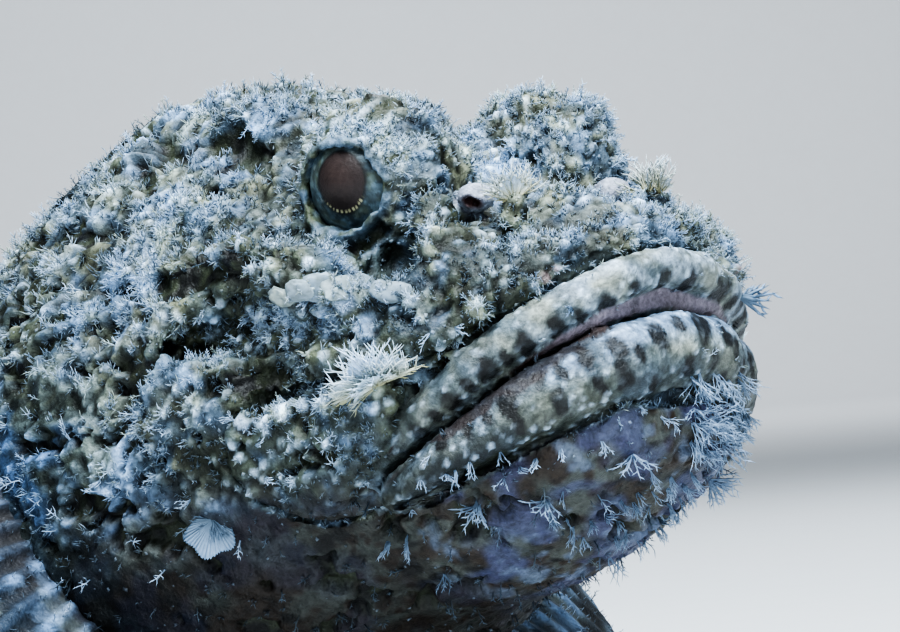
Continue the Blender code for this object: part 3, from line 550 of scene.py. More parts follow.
BOSSES = [  # raised lobes: pixel, width in pixels, height in mm
    (308, 288, 26, 0.8), (334, 290, 26, 0.9), (362, 288, 26, 0.9), (388, 290, 24, 0.9), (408, 300, 18, 0.6), (438, 234, 20, 0.9),
    (428, 250, 20, 0.9), (436, 266, 18, 0.8), (475, 308, 26, 0.6), (450, 300, 22, 0.6), (545, 277, 18, 0.6), (735, 270, 14, 0.6),
    (244, 424, 16, 0.9), (262, 418, 16, 1.0), (282, 411, 16, 1.0), (304, 405, 16, 1.0), (326, 400, 16, 1.0), (348, 395, 16, 0.9),
    (300, 260, 20, 0.7), (270, 268, 22, 0.7), (240, 275, 20, 0.7), (520, 226, 24, 0.8),
]
CHEEK_PALE = [(290, 313, 42), (330, 318, 44), (365, 326, 36), (258, 318, 26), (345, 300, 30), (300, 335, 20), (280, 345, 14)]
RIDGE_PALE = [(244, 424, 18), (262, 418, 18), (282, 411, 18), (304, 405, 18), (326, 400, 18), (348, 395, 18), (368, 392, 16)]
MAUVE_SPOTS = [(545, 277, 13), (735, 270, 11), (720, 283, 8), (556, 268, 8)]


class Skin:
    """The skin's mesh before its relief, and rays against it."""

    def __init__(self):
        d, xs, ys, zs = body_field()
        v, q = largest_part(*surface_nets(d, xs, ys, zs))
        self.flat, self.quads = v, q
        self.normal = face_sums(v, q)
        base = bend(v)
        self.tree = BVHTree.FromPolygons(base.tolist(), q.tolist())

    def hit(self, px, py):
        """Where a pixel's ray meets the skin, in straightened body coordinates, or None."""
        where, normal, face, far = self.tree.ray_cast(Vector(EYE_POINT), Vector(pixel_ray(px, py)))
        if where is None:
            return None
        return unbend(np.array(where))

    def placed(self, table):
        """Centres and radii of marks, with the right side's repeated on the left a little out of place."""
        rng = np.random.default_rng(len(table) + 5)
        out = []
        for px, py, size, *height in table:
            p = self.hit(px, py)
            if p is None:
                continue
            radius = size / 2 / 9.3
            out.append((p, radius))
            if p[1] < -2.5:
                out.append((p * [1, -1, 1] + rng.normal(0, 0.7, 3), radius * rng.uniform(0.8, 1.2)))
        return out


def near_marks(p, marks, low=0.55, high=1.3):
    out = np.zeros(len(p))
    for centre, radius in marks:
        i = np.flatnonzero(np.abs(p - centre).max(1) < radius * high)
        d = np.linalg.norm(p[i] - centre, axis=1) / radius
        out[i] = np.maximum(out[i], step(high, low, d))
    return out


def lip_bars(p, marks, line, width=1.6, length=3.0):
    """Bars that cross a lip: short along it and long across it."""
    points = np.array(line)[:, :3]
    out = np.zeros(len(p))
    for centre, radius in marks:
        m = centre * [1, -1 if centre[1] > 0 else 1, 1]
        i0 = int(np.argmin(np.linalg.norm(points - m, axis=1)))
        a, b = points[max(0, i0 - 1)], points[min(len(points) - 1, i0 + 1)]
        t = (b - a) / np.linalg.norm(b - a)
        if centre[1] > 0:
            t = t * [1, -1, 1]
        i = np.flatnonzero(np.abs(p - centre).max(1) < radius * 5)
        dp = p[i] - centre
        s = dp @ t
        r = np.linalg.norm(dp - s[:, None] * t, axis=1)
        d = np.sqrt((s / (radius * width)) ** 2 + (r / (radius * length)) ** 2)
        out[i] = np.maximum(out[i], step(1.25, 0.7, d))
    return out


def warp(p, size, amount, seed):
    return p + amount * 2 * np.stack([value_noise(p, size, seed + n) - 0.5 for n in range(3)], 1)


class Surface:
    """What the skin is at each of its points: region shares, relief in mm and colour."""

    def __init__(self, skin):
        p, n = skin.flat, skin.normal
        q = p.copy()
        q[:, 1] = -np.abs(q[:, 1])
        X, Y, Z = q.T
        upper = chain_field(X, Y, Z, RIDGES["upper_lip"][0])
        lower = chain_field(X, Y, Z, RIDGES["lower_lip"][0])
        up = np.interp(X, *np.array(GAPE_UPPER).T)
        lo = np.interp(X, *np.array(GAPE_LOWER).T)
        plan = line_distance(X, -Y, PALATE)
        inside = (-Y < np.interp(X, [a[0] for a in PALATE], [a[1] for a in PALATE], right=-1)) & (X < 82.4)
        plan = np.where(inside, plan, -plan)
        between = np.abs(Z - (up + lo) / 2) - (up - lo) / 2
        self.above_gape = step(-0.5, 0.5, Z - (up + lo) / 2)
        line = np.array(RIDGES["upper_lip"][0])[::-1]
        above = np.interp(X, line[:, 0], line[:, 2] - 0.25 * line[:, 3])
        line = np.array(RIDGES["lower_lip"][0])[::-1]
        below = np.interp(X, line[:, 0], line[:, 2] + 0.2 * line[:, 3])
        self.mouth = step(1.7, 0.7, between) * step(-1.3, -0.5, plan)
        valve = step(0.05, 0.3, upper) * step(0.05, 0.3, lower) * (Z < above) * (Z > below) * (-Y < 25.5)
        self.mouth = np.maximum(self.mouth, valve) * (X > 63)
        roll = 0.62 - 0.22 * step(68, 74, X) * step(86, 82, X)
        # painted shade of the mouth's opening: marks the top of the lower lip, behind its front, to be painted dark
        painted_gape_shade = step(0.0, 0.1, n[:, 2] - roll + 0.12 * (value_noise(p, 1.6, 57) - 0.5)) * step(0.9, 0.3, lower) * step(86.4, 84.4, X) * (X > 63)
        painted_gape_shade = painted_gape_shade * (-Y < 25.5)
        self.upper = step(0.6, 0.2, upper) * (1 - self.mouth)
        self.lower = step(0.6, 0.2, lower) * (1 - self.mouth) * (1 - self.upper)
        self.painted_gape_shade = painted_gape_shade * self.lower
        self.lips = np.maximum(self.upper, self.lower)
        ax = EYE_AXIS / np.linalg.norm(EYE_AXIS)
        e = q - EYE_CENTRE
        along = e @ ax
        cross = e - along[:, None] * ax
        self.eye_across = np.where(along > 0, eye_reach(np.linalg.norm(cross, axis=1), e[:, 2]), 99)
        self.eye_angle = np.arctan2(cross[:, 2], cross[:, 0])
        self.rim = step(7.2, 6.3, self.eye_across) * step(1.0, 3.0, along)
        self.socket = step(5.2, 4.9, self.eye_across) * step(1.0, 3.0, along)
        self.brow = step(11.5, 8.0, self.eye_across) * step(-2, 2, e[:, 2]) * (1 - self.rim)
        self.under = step(0.12, -0.42, n[:, 2] - 0.3 * step(50, 70, X)) * step(38, 31, Z) * (1 - self.lips) * (1 - self.mouth)
        chin = step(0.8, -0.8, Z - np.interp(X, [a[0] for a in LIP_UNDER[::-1]], [a[1] for a in LIP_UNDER[::-1]])) * step(60, 66, X)
        self.under = np.maximum(self.under, chin * (1 - self.lips) * (1 - self.mouth) * step(0.75, 0.3, n[:, 2]))
        self.chin = chin
        self.bubble = step(0.7, 0.25, ellipsoid_field(X, Y, Z, *BUBBLE))
        self.snout = step(60, 68, X) * step(48, 52, Z) * (1 - self.lips)
        self.blade = step(1.6, 0.4, ellipsoid_field(X, Y, Z, *LOBES[5][:3]))
        self.tail = step(-20, -60, X)
        self.p, self.q, self.n = p, q, n
        self.make_relief(skin)
        self.make_colour()

    def make_relief(self, skin):
        p = self.p
        w = warp(p, 2.2, 1.1, 40)
        self.notch = near_marks(w, skin.placed(NOTCHES), 0.45, 1.15)
        self.cluster = near_marks(warp(p, 2.5, 1.6, 44), skin.placed(CLUSTERS), 0.3, 1.4)
        self.belly_black = near_marks(warp(p, 1.8, 1.2, 48), skin.placed(BELLY_PATCHES), 0.6, 1.2)
        self.cream_spot = near_marks(warp(p, 1.6, 0.5, 52), skin.placed(CREAM_SPOTS), 0.4, 1.2)
        self.mauve_spot = near_marks(p, skin.placed(MAUVE_SPOTS), 0.5, 1.2)
        self.cheek_pale = near_marks(warp(p, 1.8, 0.9, 55), skin.placed(CHEEK_PALE), 0.4, 1.2)
        self.ridge_pale = near_marks(warp(p, 1.6, 0.4, 54), skin.placed(RIDGE_PALE), 0.4, 1.2)
        self.boss = np.maximum(near_marks(warp(p, 1.6, 0.5, 53), skin.placed(BOSSES), 0.5, 1.15), 0)
        bars = warp(p, 1.1, 0.5, 56)
        self.bars = np.maximum(lip_bars(bars, skin.placed(UPPER_BARS), RIDGES["upper_lip"][0]) * self.upper,
                               lip_bars(bars, skin.placed(LOWER_BARS), RIDGES["lower_lip"][0]) * self.lower)
        ledge = cloud(w * [1.0, 1.0, 1.5], 6.5, 21, 3)
        lumps = cloud(w, 7.5, 11, 3) - 0.5
        d1, o1 = cells(w, 3.3, 3)
        knob = step(0.85, 0.12, d1) * (0.35 + 0.65 * o1)
        d2, self.own = cells(p + 0.25 * (w - p), 1.3, 9)
        self.grain = step(0.72, 0.12, d2)
        d3, self.own_fine = cells(p, 0.85, 14)
        self.papilla = step(0.7, 0.15, d3)
        holes = step(0.585, 0.655, cloud(w * [1.0, 1.0, 1.35], 5.2, 61, 3)) * (1 - 0.6 * self.snout) * (1 - self.tail * 0.5)
        holes = holes * (1 - 0.85 * self.cheek_pale)
        self.hole = np.maximum(self.notch, holes * 0.8) * (1 - self.lips) * (1 - self.mouth) * (1 - self.rim) * (1 - self.socket)
        self.hole = self.hole * (1 - 0.95 * step(10.0, 8.0, self.eye_across) * (self.q[:, 2] > EYE_CENTRE[2]))
        rough = (1 - self.lips) * (1 - self.mouth) * (1 - self.rim) * (1 - 0.75 * self.under) * (1 - 0.45 * self.blade)
        rough = rough * (1 - 0.35 * self.tail) * (1 - self.bubble)
        h = rough * (3.2 * lumps + 1.7 * (ledge - 0.5) + 0.9 * knob + 0.42 * self.grain * (0.2 + self.own) - 0.4)
        h = h - 1.9 * self.hole
        h = h + 0.8 * self.boss * (1 - self.lips)
        h = h + self.under * (0.35 * (cloud(p, 2.6, 71, 2) - 0.5) * 2 + 0.12 * self.grain)
        h = h + self.lips * (0.16 * self.papilla * (0.4 + self.own_fine) + 0.35 * (cloud(p, 3.0, 75, 2) - 0.5) - 0.12)
        bead = step(0.75, 0.2, cells(p, 1.25, 80)[0])
        h = h + self.rim * (1 - self.socket) * (0.42 * bead - 0.3 + 0.7 * (cloud(p, 1.8, 83, 2) - 0.5))
        h = h * (1 - self.socket)
        self.h = np.clip(h, -2.6, 1.0)
        count = len(p)
        # how far the relief lies below its smoothed surroundings; used below for painted shade and painted light
        self.cavity_shade = np.clip(spread(self.h, skin.quads, count, 10) - self.h, -1, 1)
        self.cavity_shade = 0.6 * self.cavity_shade + 0.4 * np.clip(spread(self.h, skin.quads, count, 3) - self.h, -1, 1) * 1.6

    def make_colour(self):
        p, q = self.p, self.q
        w = warp(p, 4.0, 2.0, 90)
        diagonal = w @ np.array([[0.8, 0, 0.6], [0, 1, 0], [-0.35, 0, 0.9]]).T * [1, 1, 1]
        band = cloud(diagonal * [1.0, 0.7, 0.6], 9.0, 101, 3)
        patch = cloud(w, 5.0, 111, 3)
        small = value_noise(p, 1.6, 121)
        c_ = mix(PALE, GREY, step(0.35, 0.65, cloud(p, 3.2, 131, 2)))
        c_ = mix(c_, CREAM, 0.75 * step(0.5, 0.66, patch))
        c_ = mix(c_, TAN, 0.75 * step(0.5, 0.64, cloud(w + 40, 4.2, 141, 3)))
        c_ = mix(c_, mix(OLIVE, BLACK, 0.5), 0.8 * step(0.58, 0.66, cloud(w + 80, 3.4, 145, 3)))
        c_ = mix(c_, OLIVE, 0.85 * step(0.47, 0.6, band) * step(0.25, 0.55, small + 0.15))
        c_ = mix(c_, OLIVE * 0.8, 0.8 * self.cluster * step(0.25, 0.5, small))
        c_ = mix(c_, CREAM, 0.8 * self.cream_spot)
        c_ = mix(c_, MAUVE * 1.3, 0.7 * self.mauve_spot)
        # tops of the grains are chalky; gaps between them and low places of the relief are darker as painted shade,
        # high places lighter as painted light
        high = step(-0.6, 0.9, self.h)
        c_ = c_ * (0.55 + 0.6 * high)[:, None] * (0.62 + 0.68 * self.grain * (0.15 + 0.85 * self.own))[:, None]
        c_ = mix(c_, CHALK, 0.65 * step(0.5, 0.9, self.own) * self.grain * high)
        c_ = mix(c_, CHALK, 0.6 * self.ridge_pale)
        c_ = mix(c_, mix(PALE, CHALK, step(0.3, 0.7, small)), 0.85 * self.cheek_pale)
        # painted shade in the hollows of the relief, painted light on its crests
        c_ = c_ * np.clip(1.0 - 1.9 * self.cavity_shade, 0.18, 1.45)[:, None]
        stripes = 0.5 + 0.5 * np.sin(self.eye_angle * 15 + 3 * value_noise(p, 3.0, 151))
        c_ = c_ * (1 - 0.16 * self.snout)[:, None]
        c_ = mix(c_, mix(OLIVE, mix(CREAM, CHALK, 0.6), step(0.3, 0.55, stripes)), 0.55 * self.brow)
        c_ = c_ * (1 + 0.3 * self.brow)[:, None]
        ring = step(0.3, 0.7, value_noise(p, 1.1, 161))
        wet = mix(rgb(132, 138, 152), rgb(168, 172, 186), value_noise(p, 1.2, 158))
        wet = mix(wet, rgb(60, 34, 34), step(0.5, 0.0, ellipsoid_field(*q.T, (70.6, -12.3, 64.6), (0.95, 1.1, 0.5), 20)))
        c_ = mix(c_, wet, self.bubble)
        lid = mix(mix(OLIVE * 0.8, BLACK, 0.4 * step(0.5, 0.7, cloud(p, 2.4, 163, 2))), mix(GREY * 0.7, PALE, 0.12), step(0.2, 0.6, value_noise(p, 1.1, 161)))
        c_ = mix(c_, lid * (0.9 + 0.8 * step(0.8, 0.2, cells(p, 1.1, 164)[0]))[:, None], 0.9 * self.rim)
        inner = step(0.5, 0.1, np.abs(self.eye_across - 6.1)) * self.rim * step(0.3, 0.55, value_noise(p, 0.9, 165))
        c_ = mix(c_, rgb(92, 106, 112), 0.5 * inner)
        net = step(0.25, 0.5, cells(warp(p, 2, 0.8, 170), 2.3, 171)[0])
        under = mix(BROWN * 0.5, mix(TAN, GREY, 0.45) * 0.55, 0.8 * net * step(0.3, 0.7, cloud(p, 4.0, 175, 2)))
        under = mix(under, BLACK, 0.85 * step(0.6, 0.68, cloud(w, 4.0, 181, 3)))
        under = mix(under, BLACK, 0.9 * self.belly_black)
        under = mix(under, rgb(70, 76, 108), (0.2 + 0.45 * self.chin) * step(0.46, 0.62, cloud(p, 5.0, 185, 2)))
        under = mix(under, rgb(104, 118, 140), 0.6 * self.chin * step(0.55, 0.7, cloud(p, 3.0, 187, 3)))
        # painted shade: the underside is darkened, less on the chin
        under = under * (0.62 + 0.38 * self.chin)[:, None]
        c_ = mix(c_, under, self.under)
        # painted shade: the low flank behind the head is darkened and made bluer, where light falls off
        painted_flank_shade = step(42, 20, q[:, 0]) * step(60, 38, q[:, 2] + 4 * (cloud(w, 8.0, 189, 2) - 0.5))
        c_ = mix(c_, c_ * [0.34, 0.44, 0.58], 0.9 * painted_flank_shade)
        lip = mix(rgb(108, 122, 128), rgb(152, 158, 148), step(0.3, 0.7, cloud(p, 3.2, 191, 3)))
        lip = mix(lip, rgb(92, 108, 122), 0.7 * step(0.45, 0.7, cloud(p + 9, 4.0, 193, 3)))
        # painted highlight: pale blue-white on the upward-facing top of the lower lip
        lip = mix(lip, rgb(140, 168, 202), 0.75 * self.lower * step(0.0, 0.75, self.n[:, 2]))
        # pale chalky patches on the front of the upper lip: partly the lip's own pale mottling, partly painted
        # highlight
        lip = mix(lip, CHALK * 0.85, 0.55 * self.upper * step(78, 86, q[:, 0]) * step(0.35, 0.7, cloud(p, 2.6, 197, 3)))
        # painted shade: the downward-facing underside of the lower lip is darkened
        lip = lip * (1 - 0.45 * self.lower * step(0.25, -0.45, self.n[:, 2] + 0.3 * (cloud(p, 3.0, 198, 2) - 0.5)))[:, None]
        lip = lip * (0.72 + 0.28 * step(74, 84, q[:, 0]))[:, None]
        # painted shade: the lower lip's sides, behind its front, darken as they turn away from the top
        lip = lip * (1 - 0.62 * self.lower * step(86, 78, q[:, 0]) * step(0.55, -0.15, self.n[:, 2] + 0.4 * (cloud(p, 2.6, 202, 2) - 0.5)))[:, None]
        blot = step(0.5, 0.66, cloud(p, 3.6, 195, 3))
        lip = mix(lip, OLIVE * 0.8, 0.6 * blot * (0.6 * self.upper + self.lower))
        lip = mix(lip, rgb(28, 27, 28), 0.95 * np.clip(self.bars * (0.75 + 0.6 * value_noise(p, 0.9, 199)), 0, 1))
        bead = self.papilla * (0.25 + 0.75 * self.own_fine)
        lip = lip * (0.62 + 0.75 * bead)[:, None]
        lip = mix(lip, CHALK, 0.5 * self.papilla * step(0.72, 0.95, self.own_fine) * (1 - 0.8 * self.bars))
        behind = step(74, 66, q[:, 0])
        lip = mix(lip, c_ * 0.8, 0.75 * behind)
        c_ = mix(c_, lip, self.lips)
        # inside of the mouth: dark mauve-brown, partly the mouth's own colour and partly painted shade in the gape;
        # pale mauve at the front above the gape; darker towards the back as painted shade
        mouth = mix(rgb(58, 47, 46), rgb(138, 128, 138), step(80.5, 85.5, q[:, 0] + 1.5 * (value_noise(p, 2.4, 203) - 0.5)) * self.above_gape)
        mouth = mouth * (0.8 + 0.4 * value_noise(p * [1, 1, 3], 3.0, 201))[:, None] * (0.6 + 0.4 * step(64, 76, q[:, 0]))[:, None]
        c_ = mix(c_, mouth, self.mouth)
        # painted shade: the dark gape painted on the top of the lower lip
        c_ = mix(c_, rgb(44, 38, 39), 0.92 * self.painted_gape_shade)
        # holes and notches are painted near-black: partly the skin's own dark spots, partly painted shade in the pits
        c_ = mix(c_, mix(BLACK, OLIVE * 0.6, step(0.3, 0.7, value_noise(p, 1.4, 205))), 0.93 * step(0.25, 0.8, self.hole))
        c_ = mix(c_, rgb(52, 62, 64), self.socket)
        self.colour = np.clip(c_, 0.004, 0.95)


def mesh_from(name, verts, quads, colour=None, smooth=True, tris=False):
    """A mesh object from arrays, in mm."""
    mesh = bpy.data.meshes.new(name)
    size = 3 if tris else 4
    mesh.vertices.add(len(verts))
    mesh.vertices.foreach_set("co", (np.asarray(verts) * MM).astype(np.float32).ravel())
    mesh.loops.add(len(quads) * size)
    mesh.loops.foreach_set("vertex_index", np.asarray(quads).astype(np.int32).ravel())
    mesh.polygons.add(len(quads))
    mesh.polygons.foreach_set("loop_start", (np.arange(len(quads)) * size).astype(np.int32))
    mesh.polygons.foreach_set("use_smooth", np.full(len(quads), smooth))
    mesh.update(calc_edges=True)
    mesh.validate()
    if colour is not None:
        layer = mesh.color_attributes.new("Col", "FLOAT_COLOR", "POINT")
        layer.data.foreach_set("color", np.concatenate([colour, np.ones((len(colour), 1))], 1).astype(np.float32).ravel())
    obj = bpy.data.objects.new(name, mesh)
    bpy.context.scene.collection.objects.link(obj)
    return obj


def material(name, roughness=0.55, specular=0.35, bump=0.0, bump_size=0.4, variation=0.0, tint=None, coat=0.0, coat_roughness=0.1,
             subsurface=0.0, sheen=0.0, ior=1.45):
    """Skin-like material that takes its colour from the mesh and adds fine procedural variation and bump."""
    m = bpy.data.materials.new(name)
    m.use_nodes = True
    nodes, links = m.node_tree.nodes, m.node_tree.links
    shader = nodes["Principled BSDF"]
    shader.inputs["Roughness"].default_value = roughness
    shader.inputs["Specular IOR Level"].default_value = specular
    shader.inputs["IOR"].default_value = ior
    shader.inputs["Coat Weight"].default_value = coat
    shader.inputs["Coat Roughness"].default_value = coat_roughness
    shader.inputs["Sheen Weight"].default_value = sheen
    shader.inputs["Subsurface Weight"].default_value = subsurface
    shader.inputs["Subsurface Scale"].default_value = 0.0012
    shader.inputs["Subsurface Radius"].default_value = (1.0, 0.8, 0.7)
    place = nodes.new("ShaderNodeTexCoord")
    noise = nodes.new("ShaderNodeTexNoise")
    noise.inputs["Scale"].default_value = 1000 / bump_size
    noise.inputs["Detail"].default_value = 3.0
    noise.inputs["Roughness"].default_value = 0.6
    links.new(place.outputs["Object"], noise.inputs["Vector"])
    if tint is None:
        colour = nodes.new("ShaderNodeAttribute")
        colour.attribute_name = "Col"
        source = colour.outputs["Color"]
    else:
        colour = nodes.new("ShaderNodeRGB")
        colour.outputs[0].default_value = (*tint, 1)
        source = colour.outputs[0]
    coarse = nodes.new("ShaderNodeTexNoise")
    coarse.inputs["Scale"].default_value = 1000 / (bump_size * 2.4)
    coarse.inputs["Detail"].default_value = 2.0
    links.new(place.outputs["Object"], coarse.inputs["Vector"])
    both_ = nodes.new("ShaderNodeMath")
    both_.operation = "ADD"
    half = nodes.new("ShaderNodeMath")
    half.operation = "MULTIPLY"
    half.inputs[1].default_value = 0.5
    links.new(noise.outputs["Fac"], both_.inputs[0])
    links.new(coarse.outputs["Fac"], both_.inputs[1])
    links.new(both_.outputs[0], half.inputs[0])
    shade = nodes.new("ShaderNodeMapRange")
    shade.inputs["From Min"].default_value = 0.36
    shade.inputs["From Max"].default_value = 0.64
    shade.inputs["To Min"].default_value = 1 - variation
    shade.inputs["To Max"].default_value = 1 + variation
    links.new(half.outputs[0], shade.inputs["Value"])
    scale = nodes.new("ShaderNodeVectorMath")
    scale.operation = "SCALE"
    links.new(source, scale.inputs[0])
    links.new(shade.outputs["Result"], scale.inputs["Scale"])
    links.new(scale.outputs["Vector"], shader.inputs["Base Color"])
    if bump:
        b = nodes.new("ShaderNodeBump")
        b.inputs["Strength"].default_value = bump
        b.inputs["Distance"].default_value = bump_size * MM * 0.5
        links.new(noise.outputs["Fac"], b.inputs["Height"])
        links.new(b.outputs["Normal"], shader.inputs["Normal"])
    return m


# ---------------------------------------------------------------- build the skin
skin = Skin()
surface = Surface(skin)
relieved = skin.flat + skin.normal * surface.h[:, None]
SKIN_V = bend(relieved)
SKIN_V[:, 2] = np.maximum(SKIN_V[:, 2], 0.05)
SKIN_Q = skin.quads
SKIN_N = face_sums(SKIN_V, SKIN_Q)
skin_object = mesh_from("skin", SKIN_V, SKIN_Q, surface.colour)
skin_object.data.materials.append(material("skin", roughness=0.5, specular=0.4, bump=1.0, bump_size=0.5, variation=0.42, subsurface=0.04))
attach(skin_object, "root")
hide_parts("head", "trunk", "tail_stock", "upper_jaw", "lower_jaw")


# ---------------------------------------------------------------- eyes
def eye(side):
    """A ball whose front is a flat reddish pupil in a grainy iris under a clear, slightly bulged cornea."""
    rings, around = 110, 144
    ax = EYE_LOOK / np.linalg.norm(EYE_LOOK) * [1, side, 1]
    centre = EYE_CENTRE * [1, side, 1]
    u = np.cross(ax, [0, 0, 1])
    u /= np.linalg.norm(u)
    v = np.cross(u, ax)
    theta = np.linspace(0, math.pi, rings) ** 1.25
    theta = theta / theta[-1] * math.pi
    phi = np.arange(around) / around * 2 * math.pi
    T, P = np.meshgrid(theta, phi, indexing="ij")
    r = EYE_RADIUS - 0.2
    x, y, z = r * np.sin(T) * np.cos(P), r * np.sin(T) * np.sin(P), r * np.cos(T)
    flat = np.hypot(x, y)
    z = z + 0.35 * step(5.2, 0.0, flat) * (T < 1.2)
    p = centre + x[..., None] * u + y[..., None] * v + z[..., None] * ax
    i = np.arange(rings - 1)[:, None] * around + np.arange(around)
    j = np.arange(rings - 1)[:, None] * around + (np.arange(around) + 1) % around
    quads = np.stack([i, i + around, j + around, j], -1).reshape(-1, 4)
    if side < 0:
        quads = quads[:, ::-1]
    p = p.reshape(-1, 3)
    local = np.stack([x.ravel(), y.ravel(), z.ravel()], 1)
    R = np.hypot(x * 1.1, y * 0.97).ravel()
    wobble = 0.28 * (value_noise(local, 1.6, 7) - 0.5)
    fine = value_noise(local * [1, 1, 0.3], 0.42, 3)
    mottled = value_noise(local * [1, 1, 0.3], 0.95, 5)
    d_, own = cells(local * [1, 1, 0.4], 0.85, 6)
    iris = mix(rgb(42, 52, 56), rgb(78, 96, 106), step(0.2, 0.9, 0.5 * fine + 0.5 * own))
    iris = mix(iris, rgb(62, 68, 54), 0.6 * step(0.5, 0.7, value_noise(local, 1.1, 8)))
    iris = mix(iris, rgb(26, 30, 32), 0.6 * step(0.6, 0.75, cells(local + 0.25 * fine[:, None], 0.95, 9)[1]))
    iris = mix(iris, rgb(150, 158, 156), 0.7 * step(0.9, 0.97, own) * step(0.6, 0.2, d_))
    iris = mix(iris, rgb(104, 122, 128), 0.5 * step(4.75, 5.15, R + wobble) * step(0.35, 0.6, mottled))
    iris = iris * (1.35 + 0.5 * fine)[:, None]
    pupil = mix(rgb(54, 44, 42), rgb(45, 37, 36), step(0.5, 3.0, np.hypot(local[:, 0], local[:, 1] - 0.6)))
    edge = step(3.28, 3.08, R + wobble * 0.4)
    c_ = mix(iris, rgb(22, 20, 20), step(3.9, 3.2, R + wobble))
    c_ = mix(c_, pupil, edge)
    turn = np.arctan2(local[:, 1], local[:, 0])
    beads = step(0.1, 0.5, np.sin(turn * 40 + 3 * value_noise(local, 1.2, 17)) + 0.3)
    low = step(-1.7, -2.5, local[:, 1]) * step(3.08, 3.16, R) * step(3.44, 3.34, R)
    c_ = mix(c_, rgb(196, 190, 150), 0.85 * low * beads)
    # painted highlight: a pale arc on the top of the pupil's rim
    painted_rim_highlight = step(0.6, 0.95, np.sin(np.arctan2(local[:, 1], local[:, 0] * -side))) * step(3.25, 3.4, R) * step(3.75, 3.6, R)
    c_ = mix(c_, rgb(120, 130, 128), 0.18 * painted_rim_highlight)
    obj = mesh_from("eye_ball_" + ("right" if side > 0 else "left"), p, quads, np.clip(c_, 0.003, 1))
    m = material(obj.name, roughness=0.45, specular=0.3, bump=0.3, bump_size=0.35, variation=0.2, coat=0.14, coat_roughness=0.22)
    m.node_tree.nodes["Principled BSDF"].inputs["Coat IOR"].default_value = 1.38
    obj.data.materials.append(m)
    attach(obj, "root")
    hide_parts("eye_right" if side > 0 else "eye_left")
    return obj


eye(1)
eye(-1)


# ---------------------------------------------------------------- fins
def lerp3(a, b, t):
    return np.array(a) + (np.array(b) - np.array(a)) * t


def back_line(x):
    return float(section(x)[1])


def belly_line(x):
    return float(section(x)[0])


SPINE_LENGTHS = [13, 19, 23, 24, 23.5, 22, 20, 18, 15.5, 13, 11, 10.5]


def spiny_rays():
    rays = []
    for i, length in enumerate(SPINE_LENGTHS):
        x = 14.0 - 5.3 * i
        a = math.radians(9.0 + 0.9 * i) - math.atan2(back_line(x) - back_line(x - 10), 10)
        base = (x, 0.0, back_line(x) - 1.6)
        rays.append((base, (x - (length + 3) * math.cos(a), 0.0, base[2] + 2.2 + (length + 3) * math.sin(a))))
    return rays


def soft_rays():
    rays = []
    for i in range(9):
        x = 14.0 - 5.3 * 12 - 9.6 - 3.3 * i
        length, a = 22 - 1.1 * i, math.radians(24 - 2.0 * i)
        base = (x, 0.0, back_line(x) - 2.5)
        rays.append((base, (x - length * math.cos(a), 0.0, base[2] + length * math.sin(a))))
    return rays


def anal_rays():
    rays = []
    for i, length in enumerate([8, 13, 14, 20, 21, 20, 18, 15]):
        x = -40.0 - 4.4 * i
        a = math.radians(16 + 1.0 * i)
        base = (x, 0.0, belly_line(x) + 2.6)
        rays.append((base, (x - length * math.cos(a), 0.0, max(0.2, base[2] - length * math.sin(a)))))
    return rays


def caudal_rays():
    rays = []
    for i in range(13):
        u = i / 12 * 2 - 1
        a = math.radians(24 * u)
        base = (TAIL_X + 5.0 - 1.5 * (1 - abs(u)), 0.0, 22.3 + 9.6 * u)
        length = CAUDAL_LENGTH + 4.0 - 4.0 * u * u
        rays.append((base, (base[0] - length * math.cos(a), 0.0, max(0.3, base[2] + length * math.sin(a)))))
    return rays


def pectoral_rays(side):
    sweep = 108 if side > 0 else 70
    rays = []
    for i in range(17):
        t = i / 16
        base = lerp3((10.0, -32.0, 47.0), (24.0, -22.0, 11.0), t)
        azimuth = math.radians(222 + sweep * t ** 0.9)
        drop = math.radians(14 + 24 * t)
        length = 50 + 4 * math.sin(math.pi * t) - 20 * t ** 2
        d = (math.cos(azimuth) * math.cos(drop), math.sin(azimuth) * math.cos(drop), -math.sin(drop))
        if base[2] + length * d[2] < 0.3:
            length = (base[2] - 0.3) / -d[2]
        tip = [b + length * k for b, k in zip(base, d)]
        rays.append(((base[0], side * base[1], base[2]), (tip[0], side * tip[1], tip[2])))
    return rays


def pelvic_rays(side):
    rays = []
    for i, length in enumerate((20, 25, 28, 29, 27, 23)):
        t = i / 5
        base = lerp3((20.0, -12.0, 2.6), (17.0, -7.5, 2.4), t)
        a = math.radians(222 - 30 * t)
        tip = (base[0] + length * math.cos(a), base[1] + length * math.sin(a), 0.6)
        rays.append(((base[0], side * base[1], base[2]), (tip[0], side * tip[1], tip[2])))
    return rays


FINS = []


